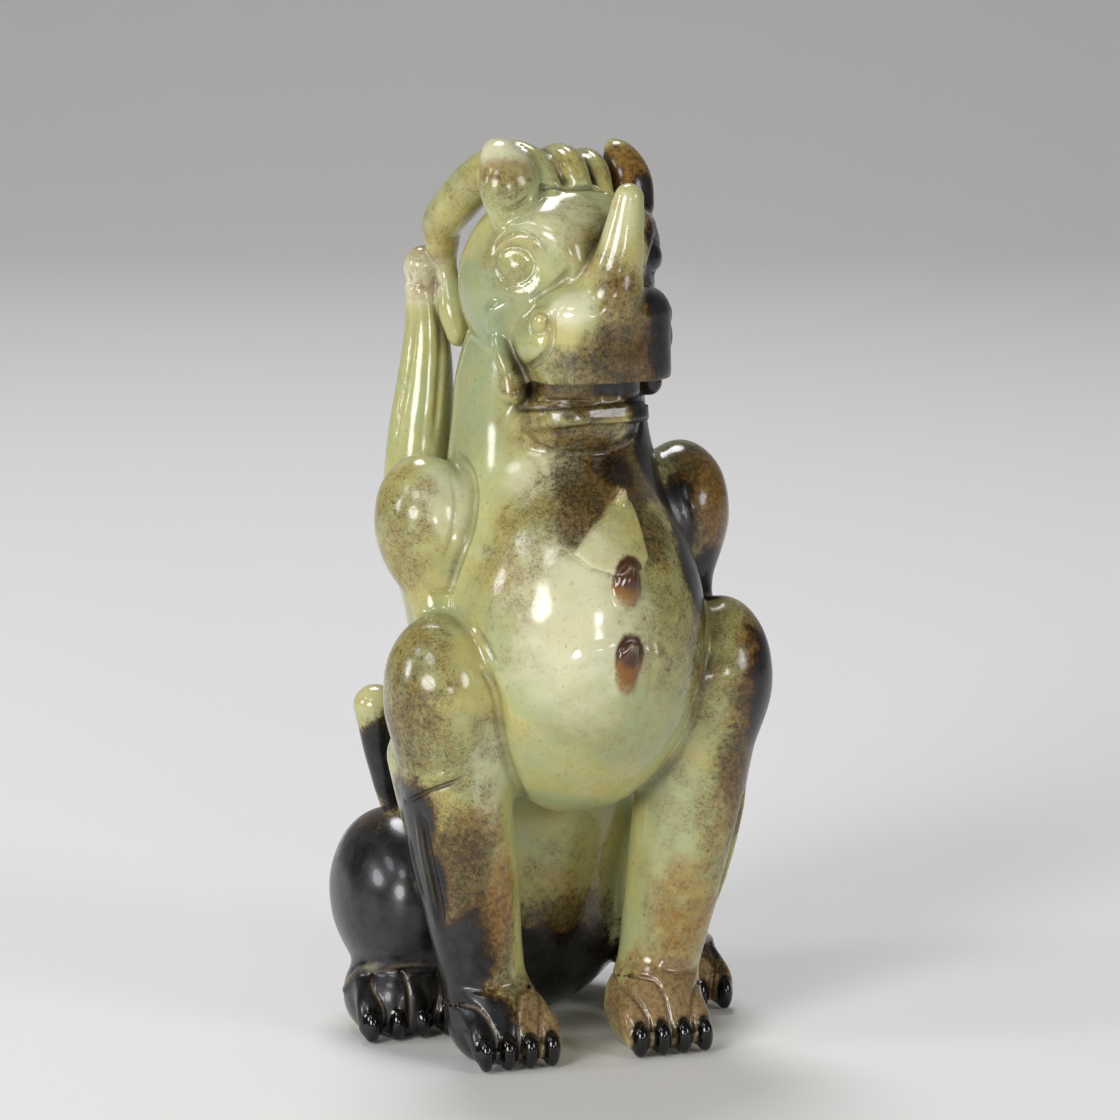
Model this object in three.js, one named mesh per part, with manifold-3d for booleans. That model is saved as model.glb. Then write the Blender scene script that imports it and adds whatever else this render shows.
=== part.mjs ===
import * as THREE from 'three';
import { edgeTable, triTable } from 'three/addons/objects/MarchingCubes.js';
import Module from 'manifold-3d';

// A seated horned dragon carved from one pebble of nephrite.
// Millimetres, +Z up, the creature faces -Y, its right side is -X.

// Overall
const STEP = 0.75;                 // spacing of the sampled form
const FACETS = 7400;               // triangles kept in the finished solid
const LOW = [-31, -29, -3];        // sampled block, lower corner
const HIGH = [31, 38, 121.5];      // sampled block, upper corner
const FAR = 9;                    // distances are worked out up to here
const SOLE = 0;                    // height of the flat sole plane
const STONE = { color: 0xb3ae7a, roughness: 0.16, metalness: 0 };

// Head: where it sits on the neck, how it turns, and its forms in head coordinates
const HEAD_AT = [0, 0, 99.5];
const HEAD_TURN = [10, -2, 0];
const CRANIUM = [[0, 1.0, 0.3], [12.8, 12.4, 12.6]];
const FOREHEAD = [[0, -4.4, 6.4], [8.4, 7.0, 6.4]];
const MUZZLE = [[0.4, -7.6, -6.7], [8.8, 9.0, 6.7], 6.2, 3.0];
const MUZZLE_TOP = [[0, -11.2, -3.0], [7.9, 5.0, 4.4]];
const MOUTH_CUT = [[0, -10, -17.4], [14, 14, 6.0], 2, 0.05];
const TOOTH_BAND = [[-0.3, -5.2, -12.8], [6.9, 7.1, 3.4], 5.4, 0.4];
const LOWER_LIP = [[-0.8, -3.1, -17.2], [8.2, 8.2, 1.15], 6.0, 0.4];
const LIP_TILT = -8;
const JAW = [[-0.8, -4.3, -16.7], [8.4, 8.3, 5.2]];
const BROW = [[10.9, -2.6, 3.6, 0.7], [10.5, -3.5, 5.2, 1.1], [9.1, -4.5, 7.2, 1.4], [7.0, -6.2, 8.1, 1.6], [5.9, -8.5, 7.3, 1.7], [4.9, -9.8, 5.8, 1.5], [4.1, -10.6, 3.9, 1.1]];
const EYE = [[9.2, -5.1, 3.2], [2.7, 1.75, 2.35]];
const LEFT_BROW_OUT = 1.0;
const NOSTRIL = [[8.7, -10.3, -3.3], [1.5, 1.6, 1.6]];
const CHEEK_PAD = [[7.9, -8.4, -6.6], [2.9, 3.6, 3.2]];
const MOUTH_FOLD = [[11.2, -3.2, -2.6, 0.6], [10.9, -3.0, -6.2, 0.9], [10.5, -4.2, -9.4, 1.2], [10.1, -4.9, -12.8, 1.75]];
const HORN = [[0, -6.5, -0.6, 3.6], [-0.5, -12.3, -1.6, 4.6], [0.2, -14.0, 3.0, 3.35], [0.9, -15.0, 8.2, 2.5], [1.2, -15.7, 12.0, 1.9]];
const EAR_RIGHT = [[-8.4, -3.2, 10.2, 3.5], [-8.5, -2.6, 13.2, 4.1], [-8.6, -1.0, 15.7, 3.2], [-8.7, 0.5, 17.2, 2.1]];
const EAR_LEFT = [[9.2, -3.0, 9.6, 2.9], [9.2, -2.2, 12.8, 3.1], [9.0, -0.6, 15.6, 2.4], [8.8, 0.8, 17.2, 1.3]];
const CREST_MID = [[0.4, -6.2, 11.6, 1.2], [0.0, -3.4, 15.0, 2.0], [0.2, 0.6, 15.9, 2.2], [0.8, 5.5, 14.2, 2.2], [1.0, 9.4, 10.5, 1.4]];
const CREST_LEFT = [[3.6, -5.6, 11.6, 1.2], [4.0, -2.6, 14.5, 1.9], [4.4, 1.4, 15.2, 2.1], [4.8, 6.0, 13.4, 2.1], [4.8, 9.4, 9.8, 1.4]];

// Trunk: ellipsoids [centre, radii] and the neck path [x, y, z, radius]
const BELLY = [[0, -5, 55.0], [17.0, 18.4, 23.6]];
const CHEST = [[0, 4, 68.5], [13.0, 12.8, 15.0]];
const LOINS = [[0, 15.5, 26], [15.0, 13.5, 25]];
const RUMP = [[0, 21, 13], [17.0, 13.0, 13.8]];
const NECK = [[0, 3.6, 74, 12.3], [0.1, 4.6, 84, 12.5], [0.3, 3.8, 92, 10.8]];

// Forelimb, creature's left side (mirrored for the right)
const SHOULDER = [[17.3, 2.8, 68.6], [6.6, 7.6, 9.4]];
const UPPER_ARM = [[17.6, 1.5, 67, 5.2], [17.2, -0.5, 60, 3.6], [16.8, -3, 54, 3.3]];
const ELBOW = [[19.0, -7.4, 48.2], [7.2, 8.2, 10.6]];
const FORELEG = [[18.0, -7.2, 46, 7.2], [15.8, -6.0, 30, 7.0], [14.2, -5.8, 20, 6.2], [12.9, -5.6, 12, 5.5], [12.1, -6.2, 7, 5.4]];
const FRINGE = [[22.4, -4.5, 40, 3.6], [20.4, -2.6, 32, 3.0], [18.2, -1.8, 24, 2.0], [16.8, -1.4, 17.5, 0.5]];
const PAW = [[11.2, -7.5, 4.3], [6.2, 7.0, 5.6]];
const PAW_TOE = [[10.8, 2.0, -5.5, 6.7, 1.9], [10.9, 2.75, -11.6, 5.0, 2.0], [11.0, 2.95, -14.2, 2.4, 1.6]];
const PAW_CLAW = [[11.1, 3.0, -15.0, 2.35], [1.1, 1.55, 2.35]];
const LEFT_LEG_IN = 1.0;

// Hind limb, creature's left side (mirrored for the right)
const HAUNCH = [[18.2, 14, 17.2], [8.2, 13.0, 11.8]];
const HIND_FOOT = [[19.4, 11.0, 4.6], [6.6, 8.0, 6.5]];
const ANKLE_RIM = [[25.7, 12.2, 5.3, 0.55], [25.2, 10.3, 7.2, 0.65], [23.9, 8.2, 9.0, 0.7], [21.6, 5.6, 10.2, 0.7], [18.6, 4.2, 10.7, 0.7], [15.4, 5.9, 9.6, 0.6]];
const HIND_TOE = [[19.6, 2.2, 9.6, 7.4, 2.0], [19.6, 3.25, 5.9, 4.4, 1.9], [19.6, 3.45, 4.6, 2.2, 1.6]];
const HIND_CLAW = [[19.6, 3.5, 3.9, 2.3], [1.1, 1.5, 2.25]];

// Tail rising up the back, its spur, and the mane lock that meets it
const TAIL = [[-2, 27, 20, 7], [-4.5, 26, 40, 6], [-8.5, 22.0, 54, 5.2], [-11.9, 19.5, 64, 5.0], [-12.9, 19, 72, 4.7], [-12.5, 19, 79, 4.3], [-11.9, 19, 86, 3.6], [-11.7, 19, 93, 2.8], [-12.2, 19.0, 97.6, 2.4]];
const TAIL_TIP = [[-12.1, 19.0, 100.3], [2.6, 2.6, 2.7]];
const TAIL_SPUR = [[-3, 29, 16, 4.5], [-9, 30.5, 21, 3.3], [-13.0, 29.5, 27, 2.4], [-15.0, 29.5, 33, 2.3], [-15.8, 29.5, 39.6, 3.0]];
const MANE_LOCK = [[-2.6, -5.0, 111.4, 1.2], [-3.4, -2.0, 114.4, 1.9], [-4.6, 0.8, 115.4, 2.5], [-6.4, 4.2, 115.0, 2.8], [-8.2, 8.0, 112.6, 3.0], [-9.6, 12.0, 109.4, 3.0], [-10.5, 15.6, 106.4, 2.7], [-10.4, 16.6, 103.6, 2.3]];
const LOCK_END = [[-10.2, 16.8, 103, 1.9], [-9.7, 16.8, 99.5, 1.5], [-9.3, 15.4, 95.2, 2.1], [-8.8, 14.2, 91.8, 1.8]];

// Raised scale tips down the front of the chest and belly
const SCALE_OUTLINE = [[2.6, 75.4], [-5.5, 67.9], [-3.6, 66.1], [-0.6, 65.2], [3.2, 65.7], [4.3, 67.1], [3.7, 73.2]];
const SCALE_RISE = 0.8;
const PLATE_TOP = [[1.6, -15.9, 71.6, 1.5], [2.0, -16.7, 73.6, 1.0], [2.15, -17.3, 75.1, 0.55]];
const PLATE_MID = [[0.7, -21.2, 61.9, 1.9], [0.95, -22.0, 64.0, 1.6], [1.35, -22.8, 66.1, 0.55]];
const PLATE_LOW = [[0.4, -21.7, 51.4, 1.9], [0.65, -22.6, 54.0, 1.6], [1.05, -24.4, 56.4, 0.6]];

// ---------------------------------------------------------------- small vector helpers
const rad = (d) => d * Math.PI / 180;

// turn about Z, then X, then Y (degrees), as rows of a 3x3 matrix
function turn(yaw, pitch, roll) {
  const a = rad(yaw), b = rad(pitch), c = rad(roll);
  const ca = Math.cos(a), sa = Math.sin(a), cb = Math.cos(b), sb = Math.sin(b), cc = Math.cos(c), sc = Math.sin(c);
  return mul([[ca, -sa, 0], [sa, ca, 0], [0, 0, 1]], mul([[1, 0, 0], [0, cb, -sb], [0, sb, cb]], [[cc, 0, sc], [0, 1, 0], [-sc, 0, cc]]));
}
function mul(A, B) {
  return A.map((r) => [0, 1, 2].map((j) => r[0] * B[0][j] + r[1] * B[1][j] + r[2] * B[2][j]));
}
function apply(R, p) {
  return R.map((r) => r[0] * p[0] + r[1] * p[1] + r[2] * p[2]);
}

// smooth path through [x, y, z, radius] stations
function flow(path, n) {
  if (path.length < 3) return path;
  const m = path.length - 1, out = [];
  const at = (i) => (i < 0 ? path[0].map((v, k) => 2 * v - path[1][k]) : i > m ? path[m].map((v, k) => 2 * v - path[m - 1][k]) : path[i]);
  for (let i = 0; i < m; i++) {
    const p0 = at(i - 1), p1 = at(i), p2 = at(i + 1), p3 = at(i + 2);
    for (let j = 0; j < (i < m - 1 ? n : n + 1); j++) {
      const t = j / n;
      out.push(p1.map((v, k) => 0.5 * (2 * v + (-p0[k] + p2[k]) * t + (2 * p0[k] - 5 * v + 4 * p2[k] - p3[k]) * t * t
        + (-p0[k] + 3 * v - 3 * p2[k] + p3[k]) * t * t * t)));
    }
  }
  for (const p of out) p[3] = Math.max(p[3], 0.15);
  return out;
}

// ---------------------------------------------------------------- the sampled form
class Form {
  constructor(lo, hi, h) {
    this.lo = lo; this.h = h;
    this.n = [0, 1, 2].map((i) => Math.ceil((hi[i] - lo[i]) / h) + 1);
    this.d = new Float32Array(this.n[0] * this.n[1] * this.n[2]).fill(FAR);
    this.reach = 1;                // how far past its own blend a form is worked out
    this.R = turn(0, 0, 0); this.t = [0, 0, 0];
  }
  // join another sampled form, blended over width k
  merge(g, k) {
    this.d = this.d.map((u, i) => {
      const v = g.d[i], s = Math.max(k - Math.abs(u - v), 0) / k;
      return Math.min(u, v) - s * s * k / 4;
    });
  }
  place(at, angles) { this.R = turn(...angles); this.t = at; }
  world(p) { return apply(this.R, p).map((v, i) => v + this.t[i]); }

  // join (or cut away) a shape given by its distance function, blended over width k
  join(centre, reach, k, cut, dist) {
    const { n, h, lo, d } = this, a = [], b = [];
    for (let i = 0; i < 3; i++) {
      a[i] = Math.max(0, Math.floor((centre[i] - reach[i] - lo[i]) / h));
      b[i] = Math.min(n[i] - 1, Math.ceil((centre[i] + reach[i] - lo[i]) / h));
    }
    for (let z = a[2]; z <= b[2]; z++) for (let y = a[1]; y <= b[1]; y++) {
      let q = (z * n[1] + y) * n[0] + a[0];
      for (let x = a[0]; x <= b[0]; x++, q++) {
        const v = dist(lo[0] + x * h, lo[1] + y * h, lo[2] + z * h), u = d[q];
        const w = cut ? -v : v, s = k > 0 ? Math.max(k - Math.abs(u - w), 0) / k : 0;
        d[q] = cut ? Math.max(u, w) + s * s * k / 4 : Math.min(u, w) - s * s * k / 4;
      }
    }
  }
  // ellipsoid
  egg(c, r, k, angles = [0, 0, 0], cut = false) {
    const C = this.world(c), R = mul(this.R, turn(...angles)), m = k + this.reach + 2 * this.h;
    const reach = R.map((row) => Math.hypot(row[0] * r[0], row[1] * r[1], row[2] * r[2]) + m);
    this.join(C, reach, k, cut, (x, y, z) => {
      let s = 0, g = 0;
      for (let i = 0; i < 3; i++) {
        const q = (R[0][i] * (x - C[0]) + R[1][i] * (y - C[1]) + R[2][i] * (z - C[2])) / r[i];
        s += q * q; g += q * q / (r[i] * r[i]);
      }
      s = Math.sqrt(s);
      return s * (s - 1) / (Math.sqrt(g) + 1e-6);
    });
  }
  // plate with a rounded-rectangle outline (corner radius rp) and rounded edges (rz)
  plate(c, half, rp, rz, k, cut = false) {
    const C = this.world(c), R = this.R, m = k + this.reach + 2 * this.h;
    const reach = R.map((row) => Math.abs(row[0]) * half[0] + Math.abs(row[1]) * half[1] + Math.abs(row[2]) * half[2] + m);
    this.join(C, reach, k, cut, (x, y, z) => {
      const q = [0, 1, 2].map((i) => Math.abs(R[0][i] * (x - C[0]) + R[1][i] * (y - C[1]) + R[2][i] * (z - C[2])));
      const u = q[0] - half[0] + rp, v = q[1] - half[1] + rp;
      const o = Math.hypot(Math.max(u, 0), Math.max(v, 0)) + Math.min(Math.max(u, v), 0) - rp;
      const a = o + rz, b = q[2] - half[2] + rz;
      return Math.min(Math.max(a, b), 0) + Math.hypot(Math.max(a, 0), Math.max(b, 0)) - rz;
    });
  }
  // raise the front surface inside a convex outline of [x, z] corners
  lift(corners, height, edge, k) {
    const xs = corners.map((c) => c[0]), zs = corners.map((c) => c[1]);
    const x0 = Math.min(...xs) - 1.5, x1 = Math.max(...xs) + 1.5, z0 = Math.min(...zs) - 1.5, z1 = Math.max(...zs) + 1.5;
    const sides = corners.map((a, i) => {
      const b = corners[(i + 1) % corners.length], l = Math.hypot(b[0] - a[0], b[1] - a[1]);
      return [a, (b[1] - a[1]) / l, (b[0] - a[0]) / l];
    });
    const { n, h, lo } = this, near = (v, i) => Math.min(n[i] - 1, Math.max(0, Math.round((v - lo[i]) / h)));
    this.join([(x0 + x1) / 2, -21.5, (z0 + z1) / 2], [(x1 - x0) / 2, 8.5, (z1 - z0) / 2], k, false, (x, y, z) => {
      const o = Math.max(...sides.map(([a, u, v]) => (x - a[0]) * u - (z - a[1]) * v));
      const top = this.d[(near(z, 2) * n[1] + near(y, 1)) * n[0] + near(x, 0)] - height;
      const s = Math.max(edge - Math.abs(top - o), 0) / edge;
      return Math.max(top, o) + s * s * edge / 4;
    });
  }
  // tapered tube along a path; flat = [direction, factor] squashes it
  tube(path, k, flat = null, n = 8) {
    const P = flow(path, n).map((p) => [...this.world(p), p[3]]), m = k + this.reach + 2 * this.h;
    const lo = [0, 1, 2].map((i) => Math.min(...P.map((p) => p[i] - p[3])) - m);
    const hi = [0, 1, 2].map((i) => Math.max(...P.map((p) => p[i] + p[3])) + m);
    let v = [0, 0, 0], g = 0, f = 1;
    if (flat) {
      v = apply(this.R, flat[0]);
      const l = Math.hypot(...v); v = v.map((c) => c / l);
      g = 1 / flat[1] - 1; f = Math.sqrt(flat[1]);
    }
    const bones = [];
    for (let i = 0; i + 1 < P.length; i++) {
      const a = P[i], b = P[i + 1], e = [b[0] - a[0], b[1] - a[1], b[2] - a[2]];
      const w = g * (e[0] * v[0] + e[1] * v[1] + e[2] * v[2]);
      const u = [e[0] + w * v[0], e[1] + w * v[1], e[2] + w * v[2]];
      bones.push([a, u, u[0] * u[0] + u[1] * u[1] + u[2] * u[2] + 1e-9, b[3] - a[3]]);
    }
    this.join([0, 1, 2].map((i) => (lo[i] + hi[i]) / 2), [0, 1, 2].map((i) => (hi[i] - lo[i]) / 2), k, false, (x, y, z) => {
      let best = FAR;
      for (const [a, u, uu, dr] of bones) {
        let px = x - a[0], py = y - a[1], pz = z - a[2];
        const w = g * (px * v[0] + py * v[1] + pz * v[2]);
        px += w * v[0]; py += w * v[1]; pz += w * v[2];
        const t = Math.min(1, Math.max(0, (px * u[0] + py * u[1] + pz * u[2]) / uu));
        const l = (Math.hypot(px - t * u[0], py - t * u[1], pz - t * u[2]) - a[3] - t * dr) * f;
        if (l < best) best = l;
      }
      return best;
    });
  }
}

// ---------------------------------------------------------------- the carving, part by part
const side = (path, s) => path.map((p) => [s * p[0], ...p.slice(1)]);

function carve(f) {
  const egg = (e, k, s = 1, angles) => f.egg([s * e[0][0], e[0][1], e[0][2]], e[1], k, angles);
  const plate = (p, k, cut) => f.plate(p[0], p[1], p[2], p[3], k, cut);

  // head, in its own turned frame
  f.place(HEAD_AT, HEAD_TURN);
  plate(MUZZLE, 0);
  egg(MUZZLE_TOP, 1.5);
  plate(MOUTH_CUT, 0.12, true);
  plate(TOOTH_BAND, 0.3);
  f.place(HEAD_AT, [HEAD_TURN[0], HEAD_TURN[1] + LIP_TILT]);
  plate(LOWER_LIP, 0.3);
  f.place(HEAD_AT, HEAD_TURN);
  egg(JAW, 0.6);
  egg(CRANIUM, 2.2);
  egg(FOREHEAD, 3);
  for (const s of [-1, 1]) {
    const out = s > 0 ? LEFT_BROW_OUT : 0;
    f.tube(BROW.map((p) => [s * (p[0] + out), p[1], p[2], p[3]]), 3);
    f.egg([s * (EYE[0][0] + out), EYE[0][1], EYE[0][2]], EYE[1], 0.35, [s * 48, 0, 0]);
    egg(NOSTRIL, 0.8, s);
    egg(CHEEK_PAD, 1.8, s);
    f.tube(side(MOUTH_FOLD, s), 1.6);
  }
  f.tube(HORN, 0.8);
  f.tube(EAR_RIGHT, 0.8, [[0, 1, 0.3], 0.7]);
  f.tube(EAR_LEFT, 0.8, [[0, 1, 0.3], 0.75]);
  f.tube(CREST_MID, 0.5);
  f.tube(CREST_LEFT, 0.5);
  f.place([0, 0, 0], [0, 0, 0]);

  // trunk, worked out apart so that its wide blends leave the creases under the head open
  const trunk = new Form(LOW, HIGH, STEP);
  trunk.reach = FAR;
  trunk.egg(...BELLY, 0);
  trunk.egg(...CHEST, 6);
  trunk.egg(...LOINS, 8);
  trunk.egg(...RUMP, 7);
  trunk.tube(NECK, 6);
  f.merge(trunk, 0.9);

  // limbs
  const toes = (toe, claw, s, dx) => {
    for (let i = 0; i < 4; i++) {
      const a = i - 1.5;
      f.tube(toe.map((t) => [s * (t[0] + a * t[1] - dx), t[2], t[3], t[4]]), 1);
      f.egg([s * (claw[0][0] + a * claw[0][1] - dx), claw[0][2], claw[0][3]], claw[1], 0.25);
    }
  };
  for (const s of [-1, 1]) {
    egg(HAUNCH, 2.6, s);
    egg(HIND_FOOT, 1.4, s);
    f.tube(side(ANKLE_RIM, s), 0.5);
    toes(HIND_TOE, HIND_CLAW, s, 0);
    const dx = s > 0 ? LEFT_LEG_IN : 0, top = FORELEG[0][2], low = FORELEG[FORELEG.length - 1][2];
    f.tube(FORELEG.map((p) => [s * (p[0] - dx * (top - p[2]) / (top - low)), p[1], p[2], p[3]]), 3);
    f.egg([s * (PAW[0][0] - dx), PAW[0][1], PAW[0][2]], PAW[1], 3);
    f.tube(side(FRINGE, s), 0.8, [[1, 0.35, 0], 0.6]);
    toes(PAW_TOE, PAW_CLAW, s, dx);
    egg(SHOULDER, 2, s, [0, 0, s * 6]);
    f.tube(side(UPPER_ARM, s), 1.6);
    egg(ELBOW, 1.4, s, [0, 0, s * 4]);
  }

  // tail, mane lock, belly scales
  f.tube(TAIL, 1.6);
  egg(TAIL_TIP, 0.3);
  f.tube(MANE_LOCK, 0.6);
  f.tube(LOCK_END, 0.5);
  f.tube(TAIL_SPUR, 1);
  f.lift(SCALE_OUTLINE, SCALE_RISE, 0.5, 0.3);
  f.tube(PLATE_TOP, 0.5);
  f.tube(PLATE_MID, 0.5);
  f.tube(PLATE_LOW, 0.5);
}

// ---------------------------------------------------------------- skin of the sampled form
const CORNER = [[0, 0, 0], [1, 0, 0], [1, 1, 0], [0, 1, 0], [0, 0, 1], [1, 0, 1], [1, 1, 1], [0, 1, 1]];
const EDGE = [[0, 1], [1, 2], [3, 2], [0, 3], [4, 5], [5, 6], [7, 6], [4, 7], [0, 4], [1, 5], [2, 6], [3, 7]];

function skin(f) {
  const { n, h, lo, d } = f, stride = [1, n[0], n[0] * n[1]], points = [], tris = [], seen = new Map();
  const offset = CORNER.map((c) => c[0] * stride[0] + c[1] * stride[1] + c[2] * stride[2]);
  const axis = EDGE.map(([a, b]) => [0, 1, 2].findIndex((i) => CORNER[a][i] !== CORNER[b][i]));
  for (let z = 0; z < n[2] - 1; z++) for (let y = 0; y < n[1] - 1; y++) for (let x = 0; x < n[0] - 1; x++) {
    const q = x + y * stride[1] + z * stride[2];
    let code = 0;
    for (let i = 0; i < 8; i++) if (d[q + offset[i]] < 0) code |= 1 << i;
    if (edgeTable[code] === 0) continue;
    const ids = [];
    for (let i = 0; triTable[code * 16 + i] !== -1; i++) {
      const e = triTable[code * 16 + i];
      if (ids[e] === undefined) {
        const [a, b] = EDGE[e], p = q + offset[a], key = p * 3 + axis[e];
        if (!seen.has(key)) {
          const u = d[p], v = d[q + offset[b]], t = Math.min(0.95, Math.max(0.05, u / (u - v)));
          const c = CORNER[a], pos = [lo[0] + (x + c[0]) * h, lo[1] + (y + c[1]) * h, lo[2] + (z + c[2]) * h];
          pos[axis[e]] += t * h;
          seen.set(key, points.length / 3); points.push(...pos);
        }
        ids[e] = seen.get(key);
      }
      tris.push(ids[e]);
    }
  }
  return { points: Float64Array.from(points), tris: Int32Array.from(tris.reverse()) };
}

// ---------------------------------------------------------------- facet reduction by least surface error
function reduce({ points, tris }, target, weight) {
  const nv = points.length / 3, nt = tris.length / 3;
  const Q = new Float64Array(nv * 10), fan = Array.from({ length: nv }, () => []);
  const alive = new Uint8Array(nt).fill(1), gone = new Uint8Array(nv), stamp = new Int32Array(nv);
  const P = (i) => [points[3 * i], points[3 * i + 1], points[3 * i + 2]];
  const normal = (a, b, c) => {
    const ux = b[0] - a[0], uy = b[1] - a[1], uz = b[2] - a[2], vx = c[0] - a[0], vy = c[1] - a[1], vz = c[2] - a[2];
    return [uy * vz - uz * vy, uz * vx - ux * vz, ux * vy - uy * vx];
  };
  for (let t = 0; t < nt; t++) {
    const ids = [tris[3 * t], tris[3 * t + 1], tris[3 * t + 2]], a = P(ids[0]);
    const N = normal(a, P(ids[1]), P(ids[2])), l = Math.hypot(...N) || 1e-12;
    const p = [N[0] / l, N[1] / l, N[2] / l]; p.push(-(p[0] * a[0] + p[1] * a[1] + p[2] * a[2]));
    const w = l * weight(a);
    for (const i of ids) {
      let k = i * 10;
      for (let r = 0; r < 4; r++) for (let c = r; c < 4; c++) Q[k++] += w * p[r] * p[c];
      fan[i].push(t);
    }
  }
  const error = (k, j, x, y, z) => {
    const q = (m) => Q[k * 10 + m] + Q[j * 10 + m];
    return q(0) * x * x + 2 * q(1) * x * y + 2 * q(2) * x * z + 2 * q(3) * x + q(4) * y * y + 2 * q(5) * y * z + 2 * q(6) * y
      + q(7) * z * z + 2 * q(8) * z + q(9);
  };
  const best = (i, j) => {
    const q = [0, 1, 2, 3, 4, 5, 6, 7, 8, 9].map((m) => Q[i * 10 + m] + Q[j * 10 + m]);
    const [a, b, c, d, e, f, g, h2, k] = q;
    const det = a * (e * h2 - f * f) - b * (b * h2 - f * c) + c * (b * f - e * c);
    const A = P(i), B = P(j), mid = [0, 1, 2].map((m) => (A[m] + B[m]) / 2), len = Math.hypot(A[0] - B[0], A[1] - B[1], A[2] - B[2]);
    if (Math.abs(det) > 1e-7) {
      const x = -(d * (e * h2 - f * f) - b * (g * h2 - f * k) + c * (g * f - e * k)) / det;
      const y = -(a * (g * h2 - f * k) - d * (b * h2 - f * c) + c * (b * k - g * c)) / det;
      const z = -(a * (e * k - g * f) - b * (b * k - g * c) + d * (b * f - e * c)) / det;
      if (Math.hypot(x - mid[0], y - mid[1], z - mid[2]) < 1.5 * len) return [x, y, z, error(i, j, x, y, z)];
    }
    return [A, B, mid].map((p) => [...p, error(i, j, ...p)]).sort((u, v) => u[3] - v[3])[0];
  };
  // binary heap of [cost, i, j, stamp sum, x, y, z]
  const heap = [];
  const push = (it) => {
    let i = heap.length; heap.push(it);
    while (i > 0) { const p = (i - 1) >> 1; if (heap[p][0] <= it[0]) break; heap[i] = heap[p]; i = p; }
    heap[i] = it;
  };
  const pop = () => {
    const top = heap[0], last = heap.pop();
    if (heap.length) {
      let i = 0;
      for (;;) {
        let c = 2 * i + 1; if (c >= heap.length) break;
        if (c + 1 < heap.length && heap[c + 1][0] < heap[c][0]) c++;
        if (heap[c][0] >= last[0]) break;
        heap[i] = heap[c]; i = c;
      }
      heap[i] = last;
    }
    return top;
  };
  const offer = (i, j) => {
    const [x, y, z, e] = best(i, j), A = P(i), B = P(j);
    const l2 = (A[0] - B[0]) ** 2 + (A[1] - B[1]) ** 2 + (A[2] - B[2]) ** 2;
    push([Math.max(e, 0) + 1e-6 * l2, i, j, stamp[i] + stamp[j], x, y, z]);
  };
  const ring = (i) => {
    const s = new Set();
    for (const t of fan[i]) if (alive[t]) for (let k = 0; k < 3; k++) s.add(tris[3 * t + k]);
    s.delete(i);
    return s;
  };
  for (let t = 0; t < nt; t++) for (let k = 0; k < 3; k++) {
    const i = tris[3 * t + k], j = tris[3 * t + (k + 1) % 3];
    if (i < j) offer(i, j);
  }
  let left = nt;
  while (left > target && heap.length) {
    const [, i, j, st, x, y, z] = pop();
    if (gone[i] || gone[j] || stamp[i] + stamp[j] !== st) continue;
    const ri = ring(i), rj = ring(j);
    let common = 0;
    for (const v of ri) if (rj.has(v)) common++;
    if (common !== 2 || !ri.has(j)) continue;
    const np = [x, y, z];
    let bad = false;
    for (const v of [i, j]) {
      for (const t of fan[v]) {
        if (!alive[t]) continue;
        const ids = [tris[3 * t], tris[3 * t + 1], tris[3 * t + 2]];
        if (ids.includes(i) && ids.includes(j)) continue;
        const old = normal(...ids.map(P)), now = normal(...ids.map((q) => (q === v ? np : P(q))));
        const lo2 = Math.hypot(...old), ln = Math.hypot(...now);
        const e = [0, 1, 2].map((k) => { const a = ids[k] === v ? np : P(ids[k]), b2 = ids[(k + 1) % 3] === v ? np : P(ids[(k + 1) % 3]); return Math.hypot(a[0] - b2[0], a[1] - b2[1], a[2] - b2[2]); });
        if (ln < 1e-4 || ln < 0.06 * Math.max(...e) ** 2
          || (old[0] * now[0] + old[1] * now[1] + old[2] * now[2]) < 0.3 * lo2 * ln) { bad = true; break; }
      }
      if (bad) break;
    }
    if (bad) continue;
    points[3 * i] = x; points[3 * i + 1] = y; points[3 * i + 2] = z;
    for (let m = 0; m < 10; m++) Q[i * 10 + m] += Q[j * 10 + m];
    gone[j] = 1; stamp[i] += 1;
    for (const t of fan[j]) {
      if (!alive[t]) continue;
      const k = [0, 1, 2].map((m) => tris[3 * t + m]);
      if (k.includes(i)) { alive[t] = 0; left--; } else { for (let m = 0; m < 3; m++) if (tris[3 * t + m] === j) tris[3 * t + m] = i; fan[i].push(t); }
    }
    fan[i] = fan[i].filter((t) => alive[t]);
    stamp[i] += 1;
    for (const v of ring(i)) offer(i, v);
  }
  const index = new Int32Array(nv).fill(-1), outP = [], outT = [];
  for (let t = 0; t < nt; t++) {
    if (!alive[t]) continue;
    for (let k = 0; k < 3; k++) {
      const i = tris[3 * t + k];
      if (index[i] < 0) { index[i] = outP.length / 3; outP.push(...P(i)); }
      outT.push(index[i]);
    }
  }
  return { points: outP, tris: outT };
}

// largest connected shell
function shell({ points, tris }) {
  const parent = Array.from({ length: points.length / 3 }, (_, i) => i);
  const find = (i) => { while (parent[i] !== i) { parent[i] = parent[parent[i]]; i = parent[i]; } return i; };
  for (let t = 0; t < tris.length; t += 3) { parent[find(tris[t])] = find(tris[t + 1]); parent[find(tris[t])] = find(tris[t + 2]); }
  const count = new Map();
  for (let t = 0; t < tris.length; t += 3) { const r = find(tris[t]); count.set(r, (count.get(r) || 0) + 1); }
  const main = [...count].sort((a, b) => b[1] - a[1])[0][0], kept = [];
  for (let t = 0; t < tris.length; t += 3) if (find(tris[t]) === main) kept.push(tris[t], tris[t + 1], tris[t + 2]);
  return { points, tris: Int32Array.from(kept) };
}

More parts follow.
